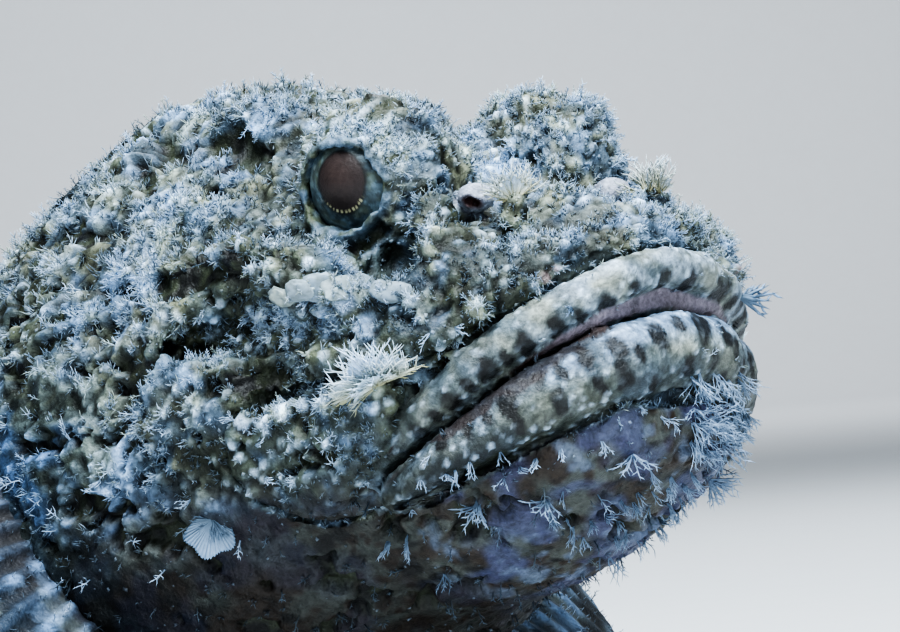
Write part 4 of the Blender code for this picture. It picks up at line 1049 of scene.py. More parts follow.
def fin(name, rays, notch, bow, thick=1.3, thin=0.5, sub=8, rows=44, inner=None, fringe=0.0):
    """A fin as a closed sheet: round rays, thin membrane between them and an uneven edge."""
    base = np.array([r[0] for r in rays], float)
    tip = np.array([r[1] for r in rays], float)
    n = (len(rays) - 1) * sub + 1
    u = np.arange(n) / sub
    b = np.stack([np.interp(u, np.arange(len(rays)), base[:, k]) for k in range(3)], 1)
    e = np.stack([np.interp(u, np.arange(len(rays)), tip[:, k]) for k in range(3)], 1)
    f = u - np.floor(u)
    between = np.sin(math.pi * f) ** 0.8
    seeds = np.stack([u, u * 0, u * 0], 1)
    reach = 1 - notch * between - fringe * value_noise(seeds * 7.3, 1.0, len(name))
    t = np.linspace(0, 1, rows)[None, :] * reach[:, None]
    mid = b[:, None] + (e - b)[:, None] * t[..., None] + bow(t)
    ray = (np.abs(np.cos(math.pi * f)) ** 2.5)[:, None] * (1 - 0.55 * t)
    du, dt = np.gradient(mid, axis=0), np.gradient(mid, axis=1)
    normal = np.cross(du, dt)
    normal /= np.linalg.norm(normal, axis=2, keepdims=True) + 1e-9
    q = mid.reshape(-1, 3)
    bumps = (0.35 * (cloud(q, 2.2, 301, 3) - 0.5) * 2 + 0.22 * step(0.7, 0.1, cells(q, 1.5, 305)[0])).reshape(t.shape)
    taper = step(1.0, 0.9, t / reach[:, None]) * 0.75 + 0.25
    half = (0.5 * thin + 0.5 * (thick - thin) * ray + 0.5 * np.maximum(bumps, -0.1) * (0.4 + 0.6 * ray)) * taper
    wave = 0.35 * (cloud(q, 5.0, 311, 2).reshape(t.shape) - 0.5) * 2 * (1 - ray)
    mid = mid + normal * wave[..., None]
    sides_ = [mid + normal * half[..., None], mid - normal * half[..., None]]
    verts = np.concatenate([s.reshape(-1, 3) for s in sides_])
    verts = bend(verts)
    verts[:, 2] = np.maximum(verts[:, 2], 0.1)
    i = (np.arange(n - 1)[:, None] * rows + np.arange(rows - 1)).ravel()
    a = np.stack([i, i + rows, i + rows + 1, i + 1], 1)
    m = n * rows
    back_side = a[:, ::-1] + m

    def strip(line, flip):
        s = np.stack([line[:-1], line[1:], line[1:] + m, line[:-1] + m], 1)
        return s[:, ::-1] if flip else s

    first, last = np.arange(rows), (n - 1) * rows + np.arange(rows)
    outer, root = np.arange(n) * rows + rows - 1, np.arange(n) * rows
    quads = np.concatenate([a, back_side, strip(first, False), strip(last, True), strip(outer, False), strip(root, True)])
    # colour: bands across the rays in the body's own colours
    depth = (t * np.linalg.norm(e - b, axis=1)[:, None]).ravel()
    rayed = ray.ravel()
    w = warp(q, 4.0, 2.4, 320)
    bands = cloud(np.stack([depth + 2.5 * (cloud(w, 5, 323, 2) - 0.5) * 2, w[:, 0] * 0.25, w[:, 2] * 0.25], 1), 6.5, 331, 2)
    c_ = mix(PALE * 0.85, CREAM * 0.8, step(0.4, 0.6, cloud(w, 4.0, 333, 2)))
    c_ = mix(c_, OLIVE, 0.85 * step(0.46, 0.56, bands))
    c_ = mix(c_, BROWN * 0.6, 0.8 * step(0.6, 0.68, cloud(w, 3.0, 337, 3)))
    c_ = mix(c_ * 0.45, mix(c_, CHALK, 0.22), 0.15 + 0.75 * rayed)
    dark = step(0.5, 0.6, cloud(w + 60, 4.4, 351, 3))
    c_ = mix(c_, mix(OLIVE, BLACK, 0.6), 0.75 * dark)
    c_ = c_ * (0.8 + 0.4 * step(0.7, 0.2, cells(q, 1.2, 341)[0]))[:, None]
    c_ = mix(c_, CHALK * 0.6, 0.4 * step(0.94, 1.0, (t / reach[:, None]).ravel()))
    other = c_
    if inner:
        other = mix(mix(rgb(30, 42, 60), rgb(104, 138, 180), step(0.2, 0.8, rayed)), c_, 0.4 + 0.3 * step(0.45, 0.6, bands))
        other = mix(other, rgb(18, 24, 32), 0.8 * dark)
        other = mix(other, rgb(90, 80, 74), 0.2 * step(0.4, 0.15, t.ravel()))
        other = mix(other, BLACK * 1.5, 0.8 * step(0.66, 0.71, t.ravel()) * step(0.86, 0.8, t.ravel()) * step(0.3, 0.6, bands + 0.1))
    colours = np.concatenate([c_, other] if inner != "first" else [other, c_])
    obj = mesh_from(name + "_skin", verts, quads, np.clip(colours, 0.004, 0.9))
    obj.data.materials.append(FIN_MATERIAL)
    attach(obj, "root")
    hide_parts(name)
    FINS.append((name, verts, quads, colours, np.concatenate([t.ravel()] * 2), np.concatenate([rayed] * 2)))
    return obj


def bow(x, z, sine=False):
    def f(t):
        if sine == "up":
            return np.stack([0 * t, 0 * t, z * np.sin(math.pi * np.minimum(1, 1.25 * t))], -1)
        if sine:
            return np.stack([0 * t, 0 * t, z * np.sin(math.pi * t)], -1)
        return np.stack([x * t * t, 0 * t, z * t * t], -1)
    return f


FIN_MATERIAL = material("fin", roughness=0.5, specular=0.4, bump=0.8, bump_size=0.45, variation=0.32, subsurface=0.04)
fin("dorsal_fin_spiny", spiny_rays(), 0.3, bow(0, 2.6, "up"), thick=1.9, thin=0.7, fringe=0.05)
fin("dorsal_fin_soft", soft_rays(), 0.10, bow(-3.0, -1.2), fringe=0.03)
fin("anal_fin", anal_rays(), 0.12, bow(0, 0), fringe=0.03)
fin("caudal_fin", caudal_rays(), 0.05, bow(0, 0), sub=9, rows=60, fringe=0.03)
for s_, n_ in ((1, "right"), (-1, "left")):
    fin("pectoral_fin_" + n_, pectoral_rays(s_), 0.09, bow(0, 5.0, True), thick=2.0, thin=0.6, rows=60, fringe=0.03,
        inner="second" if s_ > 0 else "first")
    fin("pelvic_fin_" + n_, pelvic_rays(s_), 0.10, bow(0, 0), thick=1.6, thin=0.6, fringe=0.02)


# ---------------------------------------------------------------- coat: small flaps and filaments of skin
def unit(v):
    v = np.asarray(v, float)
    return v / (np.linalg.norm(v, axis=-1, keepdims=True) + 1e-12)


def frames(direction):
    """Two directions across each given one."""
    helper = np.where(np.abs(direction[:, 2:3]) < 0.9, [[0.0, 0.0, 1.0]], [[1.0, 0.0, 0.0]])
    a = unit(np.cross(helper, direction))
    return a, np.cross(direction, a)


def tubes(parts, sides=3):
    """Joins tapering tubes. A part is (points, radii). Gives centres, offsets, triangles and the share of the way to the tip."""
    centres, offsets, tris, share = [], [], [], []
    start = 0
    for points, radii in parts:
        points = np.asarray(points, float)
        k = len(points)
        d = unit(np.gradient(points, axis=0))
        a = unit(np.cross(d[0], [0.31, 0.87, 0.38]))
        for i in range(k):
            a = unit(a - (a @ d[i]) * d[i])
            b = np.cross(d[i], a)
            last = i == k - 1
            for j in range(1 if last else sides):
                w = 2 * math.pi * j / sides + 0.6 * i
                centres.append(points[i])
                offsets.append((a * math.cos(w) + b * math.sin(w)) * (0 if last else radii[i]))
                share.append(points[i][2])
        for i in range(k - 1):
            for j in range(sides):
                p, q = start + i * sides + j, start + i * sides + (j + 1) % sides
                if i == k - 2:
                    tris.append((p, q, start + (k - 1) * sides))
                else:
                    tris += [(p, q, q + sides), (p, q + sides, p + sides)]
        start = len(centres)
    return np.array(centres), np.array(offsets), np.array(tris), np.clip(np.array(share), 0, 1)


def filament(rng):
    bend_ = rng.uniform(-0.35, 0.35, 2)
    z = np.array([0.0, 0.5, 1.0])
    return [(np.stack([bend_[0] * z * z, bend_[1] * z * z, z], 1), [1.0, 0.8, 0])]


def sprig(rng, branches=5, spread=0.75, reach=0.45):
    """A stem with side branches, like a small antler."""
    lean = rng.uniform(-0.25, 0.25, 2)
    z = np.array([-0.08, 0.35, 0.7, 1.0])
    parts = [(np.stack([lean[0] * z * z, lean[1] * z * z, z], 1), [1.0, 0.8, 0.6, 0])]
    turn = rng.uniform(0, 6.3)
    for i in range(branches):
        at = 0.25 + 0.65 * (i + rng.uniform(0, 0.6)) / branches
        root = np.array([lean[0] * at * at, lean[1] * at * at, at])
        turn += 2.4 + rng.uniform(-0.4, 0.4)
        size = reach * (1.15 - 0.6 * at) * rng.uniform(0.7, 1.2)
        out = np.array([math.cos(turn), math.sin(turn), 0]) * spread
        mid = root + size * 0.5 * unit(out + [0, 0, 0.45])
        tip = mid + size * 0.5 * unit(out * 0.6 + [0, 0, 0.9])
        parts.append(([root, mid, tip], [0.65, 0.5, 0]))
    return parts


def fan(rng, fingers=12, spread=70, twigs=3, curl=0.25, thick=1.0):
    """A flat spray: fingers that open from one root, each with side twigs."""
    parts = []
    for i in range(fingers):
        u = (i + 0.5) / fingers * 2 - 1 + rng.uniform(-0.5, 0.5) / fingers
        a = math.radians(spread) * u
        size = (1 - 0.22 * u * u) * rng.uniform(0.75, 1.05)
        out = np.array([math.sin(a), rng.uniform(-0.28, 0.28), math.cos(a)])
        t = np.array([0.0, 0.35, 0.7, 1.0])
        line = out * (t * size)[:, None]
        line[:, 1] += curl * t * t * rng.uniform(0.2, 1.0)
        line[:, 0] += 0.12 * u * t * t
        parts.append((line, [thick, 0.8 * thick, 0.6 * thick, 0]))
        for j in range(twigs):
            at = 0.4 + 0.5 * (j + rng.uniform(0, 0.8)) / max(1, twigs)
            root = np.array([np.interp(at, t, line[:, k]) for k in range(3)])
            side = 1 if (i + j) % 2 else -1
            b = a + side * math.radians(rng.uniform(25, 55))
            twig = np.array([math.sin(b), rng.uniform(-0.5, 0.5), math.cos(b)]) * size * rng.uniform(0.16, 0.32)
            parts.append(([root, root + twig * 0.55, root + twig + [0, 0.02, 0.05 * size]], [0.55 * thick, 0.45 * thick, 0]))
    return parts


def wisp(rng, strands=4, twigs=3, spread=16):
    """A few soft strands from one root that sway together and fork near their tips."""
    parts = []
    sway = rng.uniform(-0.4, 0.4, 2)
    for i in range(strands):
        u = (i + 0.5) / strands * 2 - 1 + rng.uniform(-0.3, 0.3)
        a = math.radians(spread) * u
        size = rng.uniform(0.6, 1.05)
        t = np.array([0.0, 0.28, 0.55, 0.8, 1.0])
        wave = 0.05 * np.sin(5 * t + rng.uniform(0, 6.3))
        line = np.stack([math.sin(a) * t + sway[0] * t * t + wave, rng.uniform(-0.2, 0.2) * t + sway[1] * t * t, math.cos(a) * t], 1) * size
        parts.append((line, [1.0, 0.85, 0.65, 0.5, 0]))
        for j in range(twigs):
            at = 0.42 + 0.5 * (j + rng.uniform(0, 0.8)) / max(1, twigs)
            root = np.array([np.interp(at, t, line[:, k]) for k in range(3)])
            b = a + (1 if (i + j) % 2 else -1) * math.radians(rng.uniform(18, 42))
            twig = np.array([math.sin(b) + sway[0] * at, rng.uniform(-0.4, 0.4) + sway[1] * at, math.cos(b)]) * size * rng.uniform(0.14, 0.3)
            parts.append(([root, root + twig * 0.55, root + twig * [0.9, 1, 1.1]], [0.55, 0.42, 0]))
    return parts


def granule(rng):
    """A small uneven lump with eight faces."""
    v = np.array([[1, 0, 0], [0, 1, 0], [-1, 0, 0], [0, -1, 0], [0, 0, 1], [0, 0, -1]], float)
    v = v * rng.uniform(0.6, 1.3, (6, 1)) + rng.uniform(-0.25, 0.25, (6, 3))
    v[:, 2] *= 0.75
    t = [(0, 1, 4), (1, 2, 4), (2, 3, 4), (3, 0, 4), (1, 0, 5), (2, 1, 5), (3, 2, 5), (0, 3, 5)]
    return v * 0.5, v * 0.0, np.array(t), np.clip(0.5 + 0.5 * v[:, 2], 0, 1)


def body_axis_height(x):
    table = np.array(SECTIONS, float)[::-1]
    return np.interp(x, table[:, 0], (table[:, 1] + table[:, 2]) / 2)


def bake_place(p):
    """Where a point of the body lies on an unwrap of its skin: along the body and round it."""
    u = (p[:, 0] + 160.0) / 256.0
    v = np.arctan2(p[:, 1], -(p[:, 2] - body_axis_height(p[:, 0]))) / (2 * math.pi) + 0.5
    return np.stack([u, 0.004 + 0.992 * v], 1)


class Roots:
    """Where tufts grow: bent place, normal, colour, straightened place."""

    def __init__(self, place, normal, colour, straight):
        self.place, self.normal, self.colour, self.straight = place, normal, colour, straight

    def take(self, keep):
        return Roots(self.place[keep], self.normal[keep], self.colour[keep], self.straight[keep])

    def __len__(self):
        return len(self.place)


def scatter(verts, quads, normals, colours, weight, count, rng, straight=None):
    a, b, c_, e = (verts[quads[:, k]] for k in range(4))
    area = 0.5 * np.linalg.norm(np.cross(c_ - a, e - b), axis=1)
    chance = area * weight[quads].mean(1)
    faces = rng.choice(len(quads), count, p=chance / chance.sum())
    u, v = rng.random(count), rng.random(count)
    w = np.stack([(1 - u) * (1 - v), u * (1 - v), u * v, (1 - u) * v], 1)[..., None]

    def at(values):
        return (values[quads[faces]] * w).sum(1)

    place = at(verts)
    return Roots(place, unit(at(normals)), at(colours), unbend(place) if straight is None else at(straight))


COAT = []


def coat_piece(name, templates, roots, direction, length, radius, tip, rng, pick=None, spin=None, tip_share=0.75, covers=(),
               base_tone=0.9):
    """Grows one tuft per root and joins them into one mesh with its own patch of OFBake each."""
    n = len(roots)
    pick = rng.integers(0, len(templates), n) if pick is None else pick
    a, b = frames(direction)
    if spin is None:
        turn = rng.uniform(0, 2 * math.pi, n)
        a, b = (a * np.cos(turn)[:, None] + b * np.sin(turn)[:, None], b * np.cos(turn)[:, None] - a * np.sin(turn)[:, None])
    else:
        b = unit(spin - (spin * direction).sum(1, keepdims=True) * direction)
        a = np.cross(b, direction)
    home = bake_place(roots.straight)
    tone = rng.uniform(0.82, 1.15, n)[:, None]
    verts, tris, colour, uv, start = [], [], [], [], 0
    for k, (centres, offsets, faces, share) in enumerate(templates):
        i = np.flatnonzero(pick == k)
        if not len(i):
            continue
        frame3 = np.stack([a[i], b[i], direction[i]], 1)
        local = centres[None] * length[i, None, None] + offsets[None] * radius[i, None, None]
        verts.append((roots.place[i][:, None] + local @ frame3).reshape(-1, 3))
        m = len(centres)
        tris.append((faces[None] + (start + np.arange(len(i)) * m)[:, None, None]).reshape(-1, 3))
        start += m * len(i)
        s = np.clip(share ** 0.8 * tip_share, 0, 1)[None, :, None]
        root_colour = (roots.colour[i] * base_tone)[:, None]
        top = (np.asarray(tip[i] if np.ndim(tip) == 2 else np.broadcast_to(tip, (len(i), 3))) * tone[i])[:, None]
        colour.append((root_colour * (1 - s) + top * s).reshape(-1, 3))
        away = offsets[:, :2] / (np.abs(offsets[:, :2]).max() + 1e-9)
        spot = np.stack([away[:, 0] * 0.5, share * 2 - 1], 1) * 0.0015
        uv.append((home[i][:, None] + spot[None]).reshape(-1, 2))
    verts, tris, colour, uv = (np.concatenate(v) for v in (verts, tris, colour, uv))
    verts[:, 2] = np.maximum(verts[:, 2], 0.06)
    obj = mesh_from(name, verts, tris, np.clip(colour, 0.004, 0.92), tris=True)
    layer = obj.data.uv_layers.new(name="OFBake")
    order = np.empty(len(obj.data.loops), np.int32)
    obj.data.loops.foreach_get("vertex_index", order)
    layer.data.foreach_set("uv", np.clip(uv, 0.0005, 0.9995)[order].astype(np.float32).ravel())
    obj.data.materials.append(COAT_MATERIAL)
    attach(obj, "root")
    if covers:
        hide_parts(*covers)
    COAT.append((name, len(tris)))
    return obj


COAT_MATERIAL = material("coat", roughness=0.5, specular=0.35, variation=0.12, bump_size=0.5, subsurface=0.0)
SHARE = 1.0
FILAMENTS = [tubes(filament(RNG)) for _ in range(8)]
SPRIGS = [tubes(sprig(RNG, int(RNG.integers(3, 7)))) for _ in range(16)]
FANS = [tubes(fan(RNG, int(RNG.integers(5, 9)), RNG.uniform(35, 70), 2)) for _ in range(10)]
GRANULES = [granule(RNG) for _ in range(12)]

# how thickly the coat grows over the skin
S = surface
light = S.colour @ np.array([0.3, 0.5, 0.2])
open_skin = (1 - S.mouth) * (1 - S.rim) * (1 - S.socket) * (1 - 0.93 * S.hole)
thick = open_skin * (1 - 0.97 * S.lips) * (1 - 0.9 * S.under) * (1 - S.bubble) * (1 + 0.5 * S.brow) * step(-2.0, -0.2, S.h) * (0.3 + 1.2 * step(0.03, 0.3, light))
thick = thick * (0.35 + 1.3 * step(0.4, 0.62, cloud(S.p, 5.0, 401, 2))) * (0.5 + 0.9 * step(20, 40, S.p[:, 0]))
thick = np.maximum(thick, 0.0)
FACE = 1.0


def blue_white(roots, rng, amount=1.0):
    """Colour of the tips: chalky blue-white on pale skin, dull olive or brown on dark skin."""
    bright = step(0.02, 0.16, roots.colour @ np.array([0.3, 0.5, 0.2]))
    pale = mix(CHALK, PALE, rng.random(len(roots)))
    pale = mix(pale, CREAM * 1.05, 0.8 * (rng.random(len(roots)) < 0.16))
    return mix(mix(OLIVE, PALE, 0.45), pale, bright) * amount


def jitter(n, rng, amount):
    return rng.normal(0, amount, (n, 3))


# short fuzz in stars: several filaments share a root
stars = scatter(SKIN_V, SKIN_Q, SKIN_N, S.colour, thick, int(16000 * SHARE), RNG)
each = RNG.integers(3, 7, len(stars))
who = np.repeat(np.arange(len(stars)), each)
fuzz = stars.take(who)
fuzz.place = fuzz.place + jitter(len(who), RNG, 0.14)
size = RNG.uniform(0.55, 1.25, len(stars))[who] * RNG.uniform(0.7, 1.25, len(who))
size = size * (0.75 + 0.35 * step(60, 10, fuzz.straight[:, 0]))
way = unit(fuzz.normal + jitter(len(who), RNG, 0.5) + [0, 0, 0.12])
way = unit(way + fuzz.normal * np.maximum(0, 0.35 - (way * fuzz.normal).sum(1, keepdims=True)))
tipc = blue_white(fuzz, RNG)
wide = RNG.uniform(0.055, 0.1, len(who))
group = (fuzz.straight[:, 1] > 0).astype(int) + 2 * (fuzz.straight[:, 0] < 34) + 4 * ((fuzz.straight[:, 0] >= 34) & (fuzz.straight[:, 2] < 58))
for g, label in enumerate(("crown_right", "crown_left", "back_right", "back_left", "face_right", "face_left")):
    k = group == g
    coat_piece("fuzz_" + label, FILAMENTS, fuzz.take(k), way[k], size[k], wide[k], tipc[k], RNG)

# branched sprigs that stand higher, most on crests and edges
crest = thick * (0.35 + 1.5 * step(0.0, 0.8, S.h)) * (1 - 0.5 * S.blade)
roots = scatter(SKIN_V, SKIN_Q, SKIN_N, S.colour, crest, int(3600 * SHARE), RNG)
long_ = RNG.uniform(0.9, 2.1, len(roots)) * (0.85 + 0.35 * step(50, 0, roots.straight[:, 0]))
way = unit(roots.normal + jitter(len(roots), RNG, 0.35) + [0, 0, 0.1])
wide, tipc = long_ * RNG.uniform(0.045, 0.07, len(roots)), blue_white(roots, RNG, 1.02)
for label, k in (("head", roots.straight[:, 0] > 40), ("body", roots.straight[:, 0] <= 40)):
    coat_piece("sprigs_" + label, SPRIGS, roots.take(k), way[k], long_[k], wide[k], tipc[k], RNG)

# granules of crust
grit = open_skin * (1 - S.lips) * (1 - 0.85 * S.under) * step(-1.2, 0.4, S.h)
roots = scatter(SKIN_V, SKIN_Q, SKIN_N, S.colour, grit, int(11000 * SHARE), RNG)
grain_size = RNG.uniform(0.28, 0.75, len(roots)) * RNG.uniform(0.6, 1.1, len(roots))
coat_piece("crust", GRANULES, roots, unit(roots.normal + jitter(len(roots), RNG, 0.2)), grain_size, grain_size,
           mix(roots.colour * 1.2, CHALK, 0.35 * RNG.random(len(roots))), RNG, tip_share=0.9)

# sparse short fingers under the body
under_w = S.under * (1 - S.mouth) * (0.4 + step(0.05, 0.2, light)) * step(-60, 0, S.p[:, 0])
roots = scatter(SKIN_V, SKIN_Q, SKIN_N, S.colour, under_w, int(420 * SHARE), RNG)
long_ = RNG.uniform(0.8, 2.4, len(roots))
coat_piece("under_sprigs", SPRIGS, roots, unit(roots.normal + [0, 0, -0.35] + jitter(len(roots), RNG, 0.3)), long_, long_ * 0.05 + 0.015,
           blue_white(roots, RNG), RNG)

# fins carry the same fuzz, thickest on their rays
fin_roots = []
for name, verts, quads, colours, t, rayed in FINS:
    normals = face_sums(verts, quads)
    weight = (0.15 + rayed) * step(0.02, 0.12, t) * (0.25 + 1.1 * step(0.03, 0.3, colours @ np.array([0.3, 0.5, 0.2])))
    count = {"dorsal_fin_spiny": 2600, "caudal_fin": 1500, "pectoral_fin_right": 2200, "pectoral_fin_left": 2200}.get(name, 500)
    fin_roots.append(scatter(verts, quads, normals, colours, weight, int(count * SHARE), RNG))
roots = Roots(*(np.concatenate([getattr(r, k) for r in fin_roots]) for k in ("place", "normal", "colour", "straight")))
long_ = RNG.uniform(0.4, 1.1, len(roots))
coat_piece("fin_fuzz", FILAMENTS, roots, unit(roots.normal + jitter(len(roots), RNG, 0.5)), long_, RNG.uniform(0.05, 0.09, len(roots)),
           blue_white(roots, RNG), RNG)
k = RNG.random(len(roots)) < 0.1
sub = roots.take(k)
long_ = RNG.uniform(0.9, 2.0, len(sub))
coat_piece("fin_sprigs", SPRIGS, sub, unit(sub.normal + jitter(len(sub), RNG, 0.4)), long_, long_ * 0.055, blue_white(sub, RNG), RNG)

# ---------------------------------------------------------------- tassels with a place of their own
SKIN_TREE = BVHTree.FromPolygons(SKIN_V.tolist(), SKIN_Q.tolist())


def grounded(p):
    """Nearest place of the finished skin to a point, with its normal and colour."""
    where, normal, face, far = SKIN_TREE.find_nearest(Vector(p))
    quad = SKIN_Q[face]
    return np.array(where), unit(SKIN_N[quad].mean(0)), S.colour[quad].mean(0)


def seen_at(px, py):
    where, normal, face, far = SKIN_TREE.ray_cast(Vector(EYE_POINT), Vector(pixel_ray(px, py)))
    return None if where is None else np.array(where)


def tassels(name, rows, covers=(), tip=CHALK, tip_share=0.85, base=None):
    """rows: (place, direction, face, length, thickness, template)."""
    spots, ways, spins, sizes, widths, parts, shades = [], [], [], [], [], [], []
    for place, direction, face, length, width, template in rows:
        where, normal, colour = grounded(place)
        spots.append(where - normal * 0.15)
        ways.append(unit(direction))
        spins.append(face)
        sizes.append(length)
        widths.append(width)
        shades.append(mix(colour, PALE, 0.6) if base is None else base)
        parts.append(template)
    spots = np.array(spots)
    roots = Roots(spots, np.array(ways), np.array(shades), unbend(spots))
    return coat_piece(name, parts, roots, np.array(ways), np.array(sizes), np.array(widths), tip, RNG, pick=np.arange(len(parts)),
                      spin=np.array(spins, float), covers=covers, tip_share=tip_share)


def leaf(rng, spread=60, frill=10, cup=0.25, size=0.62, steps=30, rows=8, disc=0.0, ragged=1.0):
    """A thin web that opens from a root, with a frilled edge; both faces are modelled."""
    a = np.radians(np.linspace(-spread, spread, steps))
    r = np.linspace(0.04, 1.0, rows)
    A, R = np.meshgrid(a, r, indexing="ij")
    edge = size * (1 + ragged * (0.14 * np.sin(frill * A * 180 / spread / 8 + rng.uniform(0, 6)) + 0.07 * np.sin(frill * 2.7 * A)))
    edge = edge * np.cos(A * 0.95) ** disc
    R = R * edge
    x, z = R * np.sin(A), R * np.cos(A)
    y = cup * R * R + 0.05 * np.sin(frill * A * 1.9) * R
    mid = np.stack([x, y, z], -1).reshape(-1, 3)
    gap = np.zeros_like(mid)
    gap[:, 1] = 0.022 * (1.15 - (R / edge).ravel())
    v = np.concatenate([mid + gap, mid - gap])
    m = steps * rows
    i = (np.arange(steps - 1)[:, None] * rows + np.arange(rows - 1)).ravel()
    t = np.concatenate([np.stack([i, i + rows, i + rows + 1], 1), np.stack([i, i + rows + 1, i + 1], 1)])
    rim = list(range(0, rows)) + [j * rows + rows - 1 for j in range(1, steps)] + [(steps - 1) * rows + j for j in range(rows - 2, -1, -1)]
    border = []
    for p_, q_ in zip(rim, rim[1:]):
        border += [(p_, q_, q_ + m), (p_, q_ + m, p_ + m)]
    tris = np.concatenate([t, t[:, ::-1] + m, np.array(border)[:, ::-1]])
    return v, v * 0.0, tris, np.clip(v[:, 2] / size, 0, 1)


def joined(*templates):
    centres, offsets, tris, share, start = [], [], [], [], 0
    for c_, o, t, s in templates:
        centres.append(c_)
        offsets.append(o)
        tris.append(t + start)
        share.append(s)
        start += len(c_)
    return tuple(np.concatenate(v) for v in (centres, offsets, tris, share))


RIGHTWARD = np.array([0.697, 0.717, 0.0])
TOWARD = np.array([0.717, -0.697, 0.0])
UPWARD = np.array([0.0, 0.0, 1.0])


def both(point, direction, face):
    """A place and directions, and the same mirrored to the left side."""
    out = []
    for s in (1, -1):
        m = np.array([1.0, s, 1.0])
        out.append((bend(np.array(point, float) * m), np.array(direction, float) * m, np.array(face, float) * m))
    return out


# front nostrils: a funnel of skin with a spray of filaments
rows = []
for place, direction, face in both((75.9, -11.4, 64.3), (-0.05, -0.25, 1.0), (0.9, -0.5, 0.1)):
    rows.append((place, direction, face, 4.9, 0.16, joined(tubes(fan(RNG, 13, 62, 4)), leaf(RNG, 58, 9, 0.5, 0.5))))
    rows.append((place, direction * [-1, 1, 1], -face, 3.4, 0.13, joined(tubes(fan(RNG, 9, 75, 3)), leaf(RNG, 70, 9, 0.45, 0.45))))
for place, direction, face in both((75.9, -11.0, 64.3), (0.5, 0.2, 0.85), (0.7, -0.7, 0.1)):
    rows.append((place, direction, face, 4.2, 0.17, tubes(wisp(RNG, 8, 3, 34))))
    rows.append((place, direction * [-0.8, -1, 1], face, 4.0, 0.17, tubes(wisp(RNG, 7, 3, 34))))
    if place[1] > 0:
        rows.append((place, unit([-0.35, -0.4, 0.85]), TOWARD, 4.4, 0.2, tubes(wisp(RNG, 10, 4, 42))))
        rows.append((place, unit([0.1, 0.1, 0.95]), TOWARD, 4.6, 0.2, tubes(wisp(RNG, 9, 4, 36))))
tassels("nostril_flaps", rows, tip=mix(CHALK, PALE, 0.35), covers=("nostril_flap_right", "nostril_flap_left"), base=rgb(188, 180, 128))

# the large pale fan on each cheek
rows = []
spot = seen_at(376, 386)
spot = unbend(spot)
for place, direction, face in both(spot, (0.12, -0.62, 0.78), (0.62, -0.62, -0.48)):
    small = 1.0 if place[1] < 0 else 0.62
    rows.append((place, direction, face, 6.6 * small, 0.19, joined(tubes(fan(RNG, 26, 90, 5, 0.3)), leaf(RNG, 88, 22, 0.3, 0.66, steps=70))))
    rows.append((place, unit(direction + [0, -0.35, -0.25]), face, 4.4 * small, 0.16, joined(tubes(fan(RNG, 16, 85, 4, 0.5)), leaf(RNG, 80, 16, 0.5, 0.62, steps=50))))
    rows.append((place, unit(direction + [0, 0.1, 0.4]), face, 5.6 * small, 0.16, joined(tubes(fan(RNG, 14, 62, 5, -0.1)), leaf(RNG, 60, 14, -0.1, 0.6, steps=50))))
tassels("cheek_tassels", rows, covers=("cheek_tassel_right", "cheek_tassel_left"), tip=CHALK * 1.08, tip_share=1.25, base=rgb(198, 194, 150))

# comb-like tassel at the front of the upper lip, and its partner
rows = []
spot = unbend(seen_at(741, 298))
for place, direction, face in both(spot * [1, -1, 1], (0.25, -0.95, -0.12), (0.9, 0.4, 0.3)):
    small = 1.0 if place[1] > 0 else 0.4
    rows.append((place, direction, face, 4.6 * small, 0.34 * small, tubes(fan(RNG, 6, 30, 2, 0.05))))
    rows.append((place, unit(direction + [0.1, 0, 0.25]), face, 2.6 * small, 0.2 * small, tubes(fan(RNG, 4, 30, 2, 0.05))))
tassels("lip_tassels", rows, covers=("lip_tassel_right", "lip_tassel_left"), tip=PALE * 0.9, base=GREY)

# round frilled flap low on each cheek
rows = []
spot = unbend(seen_at(212, 520))
for place, direction, face in both(spot, (0.05, -0.3, -0.95), (0.72, -0.66, 0.15)):
    rows.append((place, direction, face, 4.4, 0.12, leaf(RNG, 86, 30, 0.2, 1.0, steps=90, disc=0.55, ragged=0.55)))
    rows.append((place, direction, face, 3.0, 0.1, tubes(fan(RNG, 9, 50, 2))))
    rows.append((place, unit(direction + [0.5, 0.3, 0.5]), face, 2.6, 0.12, tubes(fan(RNG, 6, 50, 2))))
    rows.append((place, unit(direction + [-0.6, -0.3, 0.4]), face, 2.8, 0.12, tubes(fan(RNG, 6, 50, 2))))
tassels("gill_flaps", rows, covers=("gill_flap_right", "gill_flap_left"), tip=PALE * 0.55, base=GREY)

# raised plates and lobes along the cheek ridge
def plate(rng, around=20, rings=10):
    theta = np.linspace(0, math.pi, rings + 2)[1:-1]
    phi = np.arange(around) / around * 2 * math.pi
    T, P = np.meshgrid(theta, phi, indexing="ij")
    v = np.stack([np.sin(T) * np.cos(P), np.sin(T) * np.sin(P), np.cos(T)], -1).reshape(-1, 3)
    v = np.concatenate([v, [[0, 0, 1], [0, 0, -1]]])
    home = rng.uniform(0, 50, 3)
    fleck = value_noise(v + home, 0.3, 5)
    v = v * (0.5 + 0.72 * value_noise(v + home, 0.6, 3) + 0.3 * fleck)[:, None]
    v = v * [0.66, 0.4, 0.1]
    n = rings * around
    tris = []
    for r in range(rings - 1):
        for a_ in range(around):
            p_, q_ = r * around + a_, r * around + (a_ + 1) % around
            tris += [(p_, p_ + around, q_ + around), (p_, q_ + around, q_)]
    for a_ in range(around):
        q_ = (a_ + 1) % around
        tris += [(n, a_, q_), (n + 1, (rings - 1) * around + q_, (rings - 1) * around + a_)]
    return v, v * 0.0, np.array(tris), np.clip(2.4 * (fleck - 0.32) + 1.5 * v[:, 2], 0, 1)


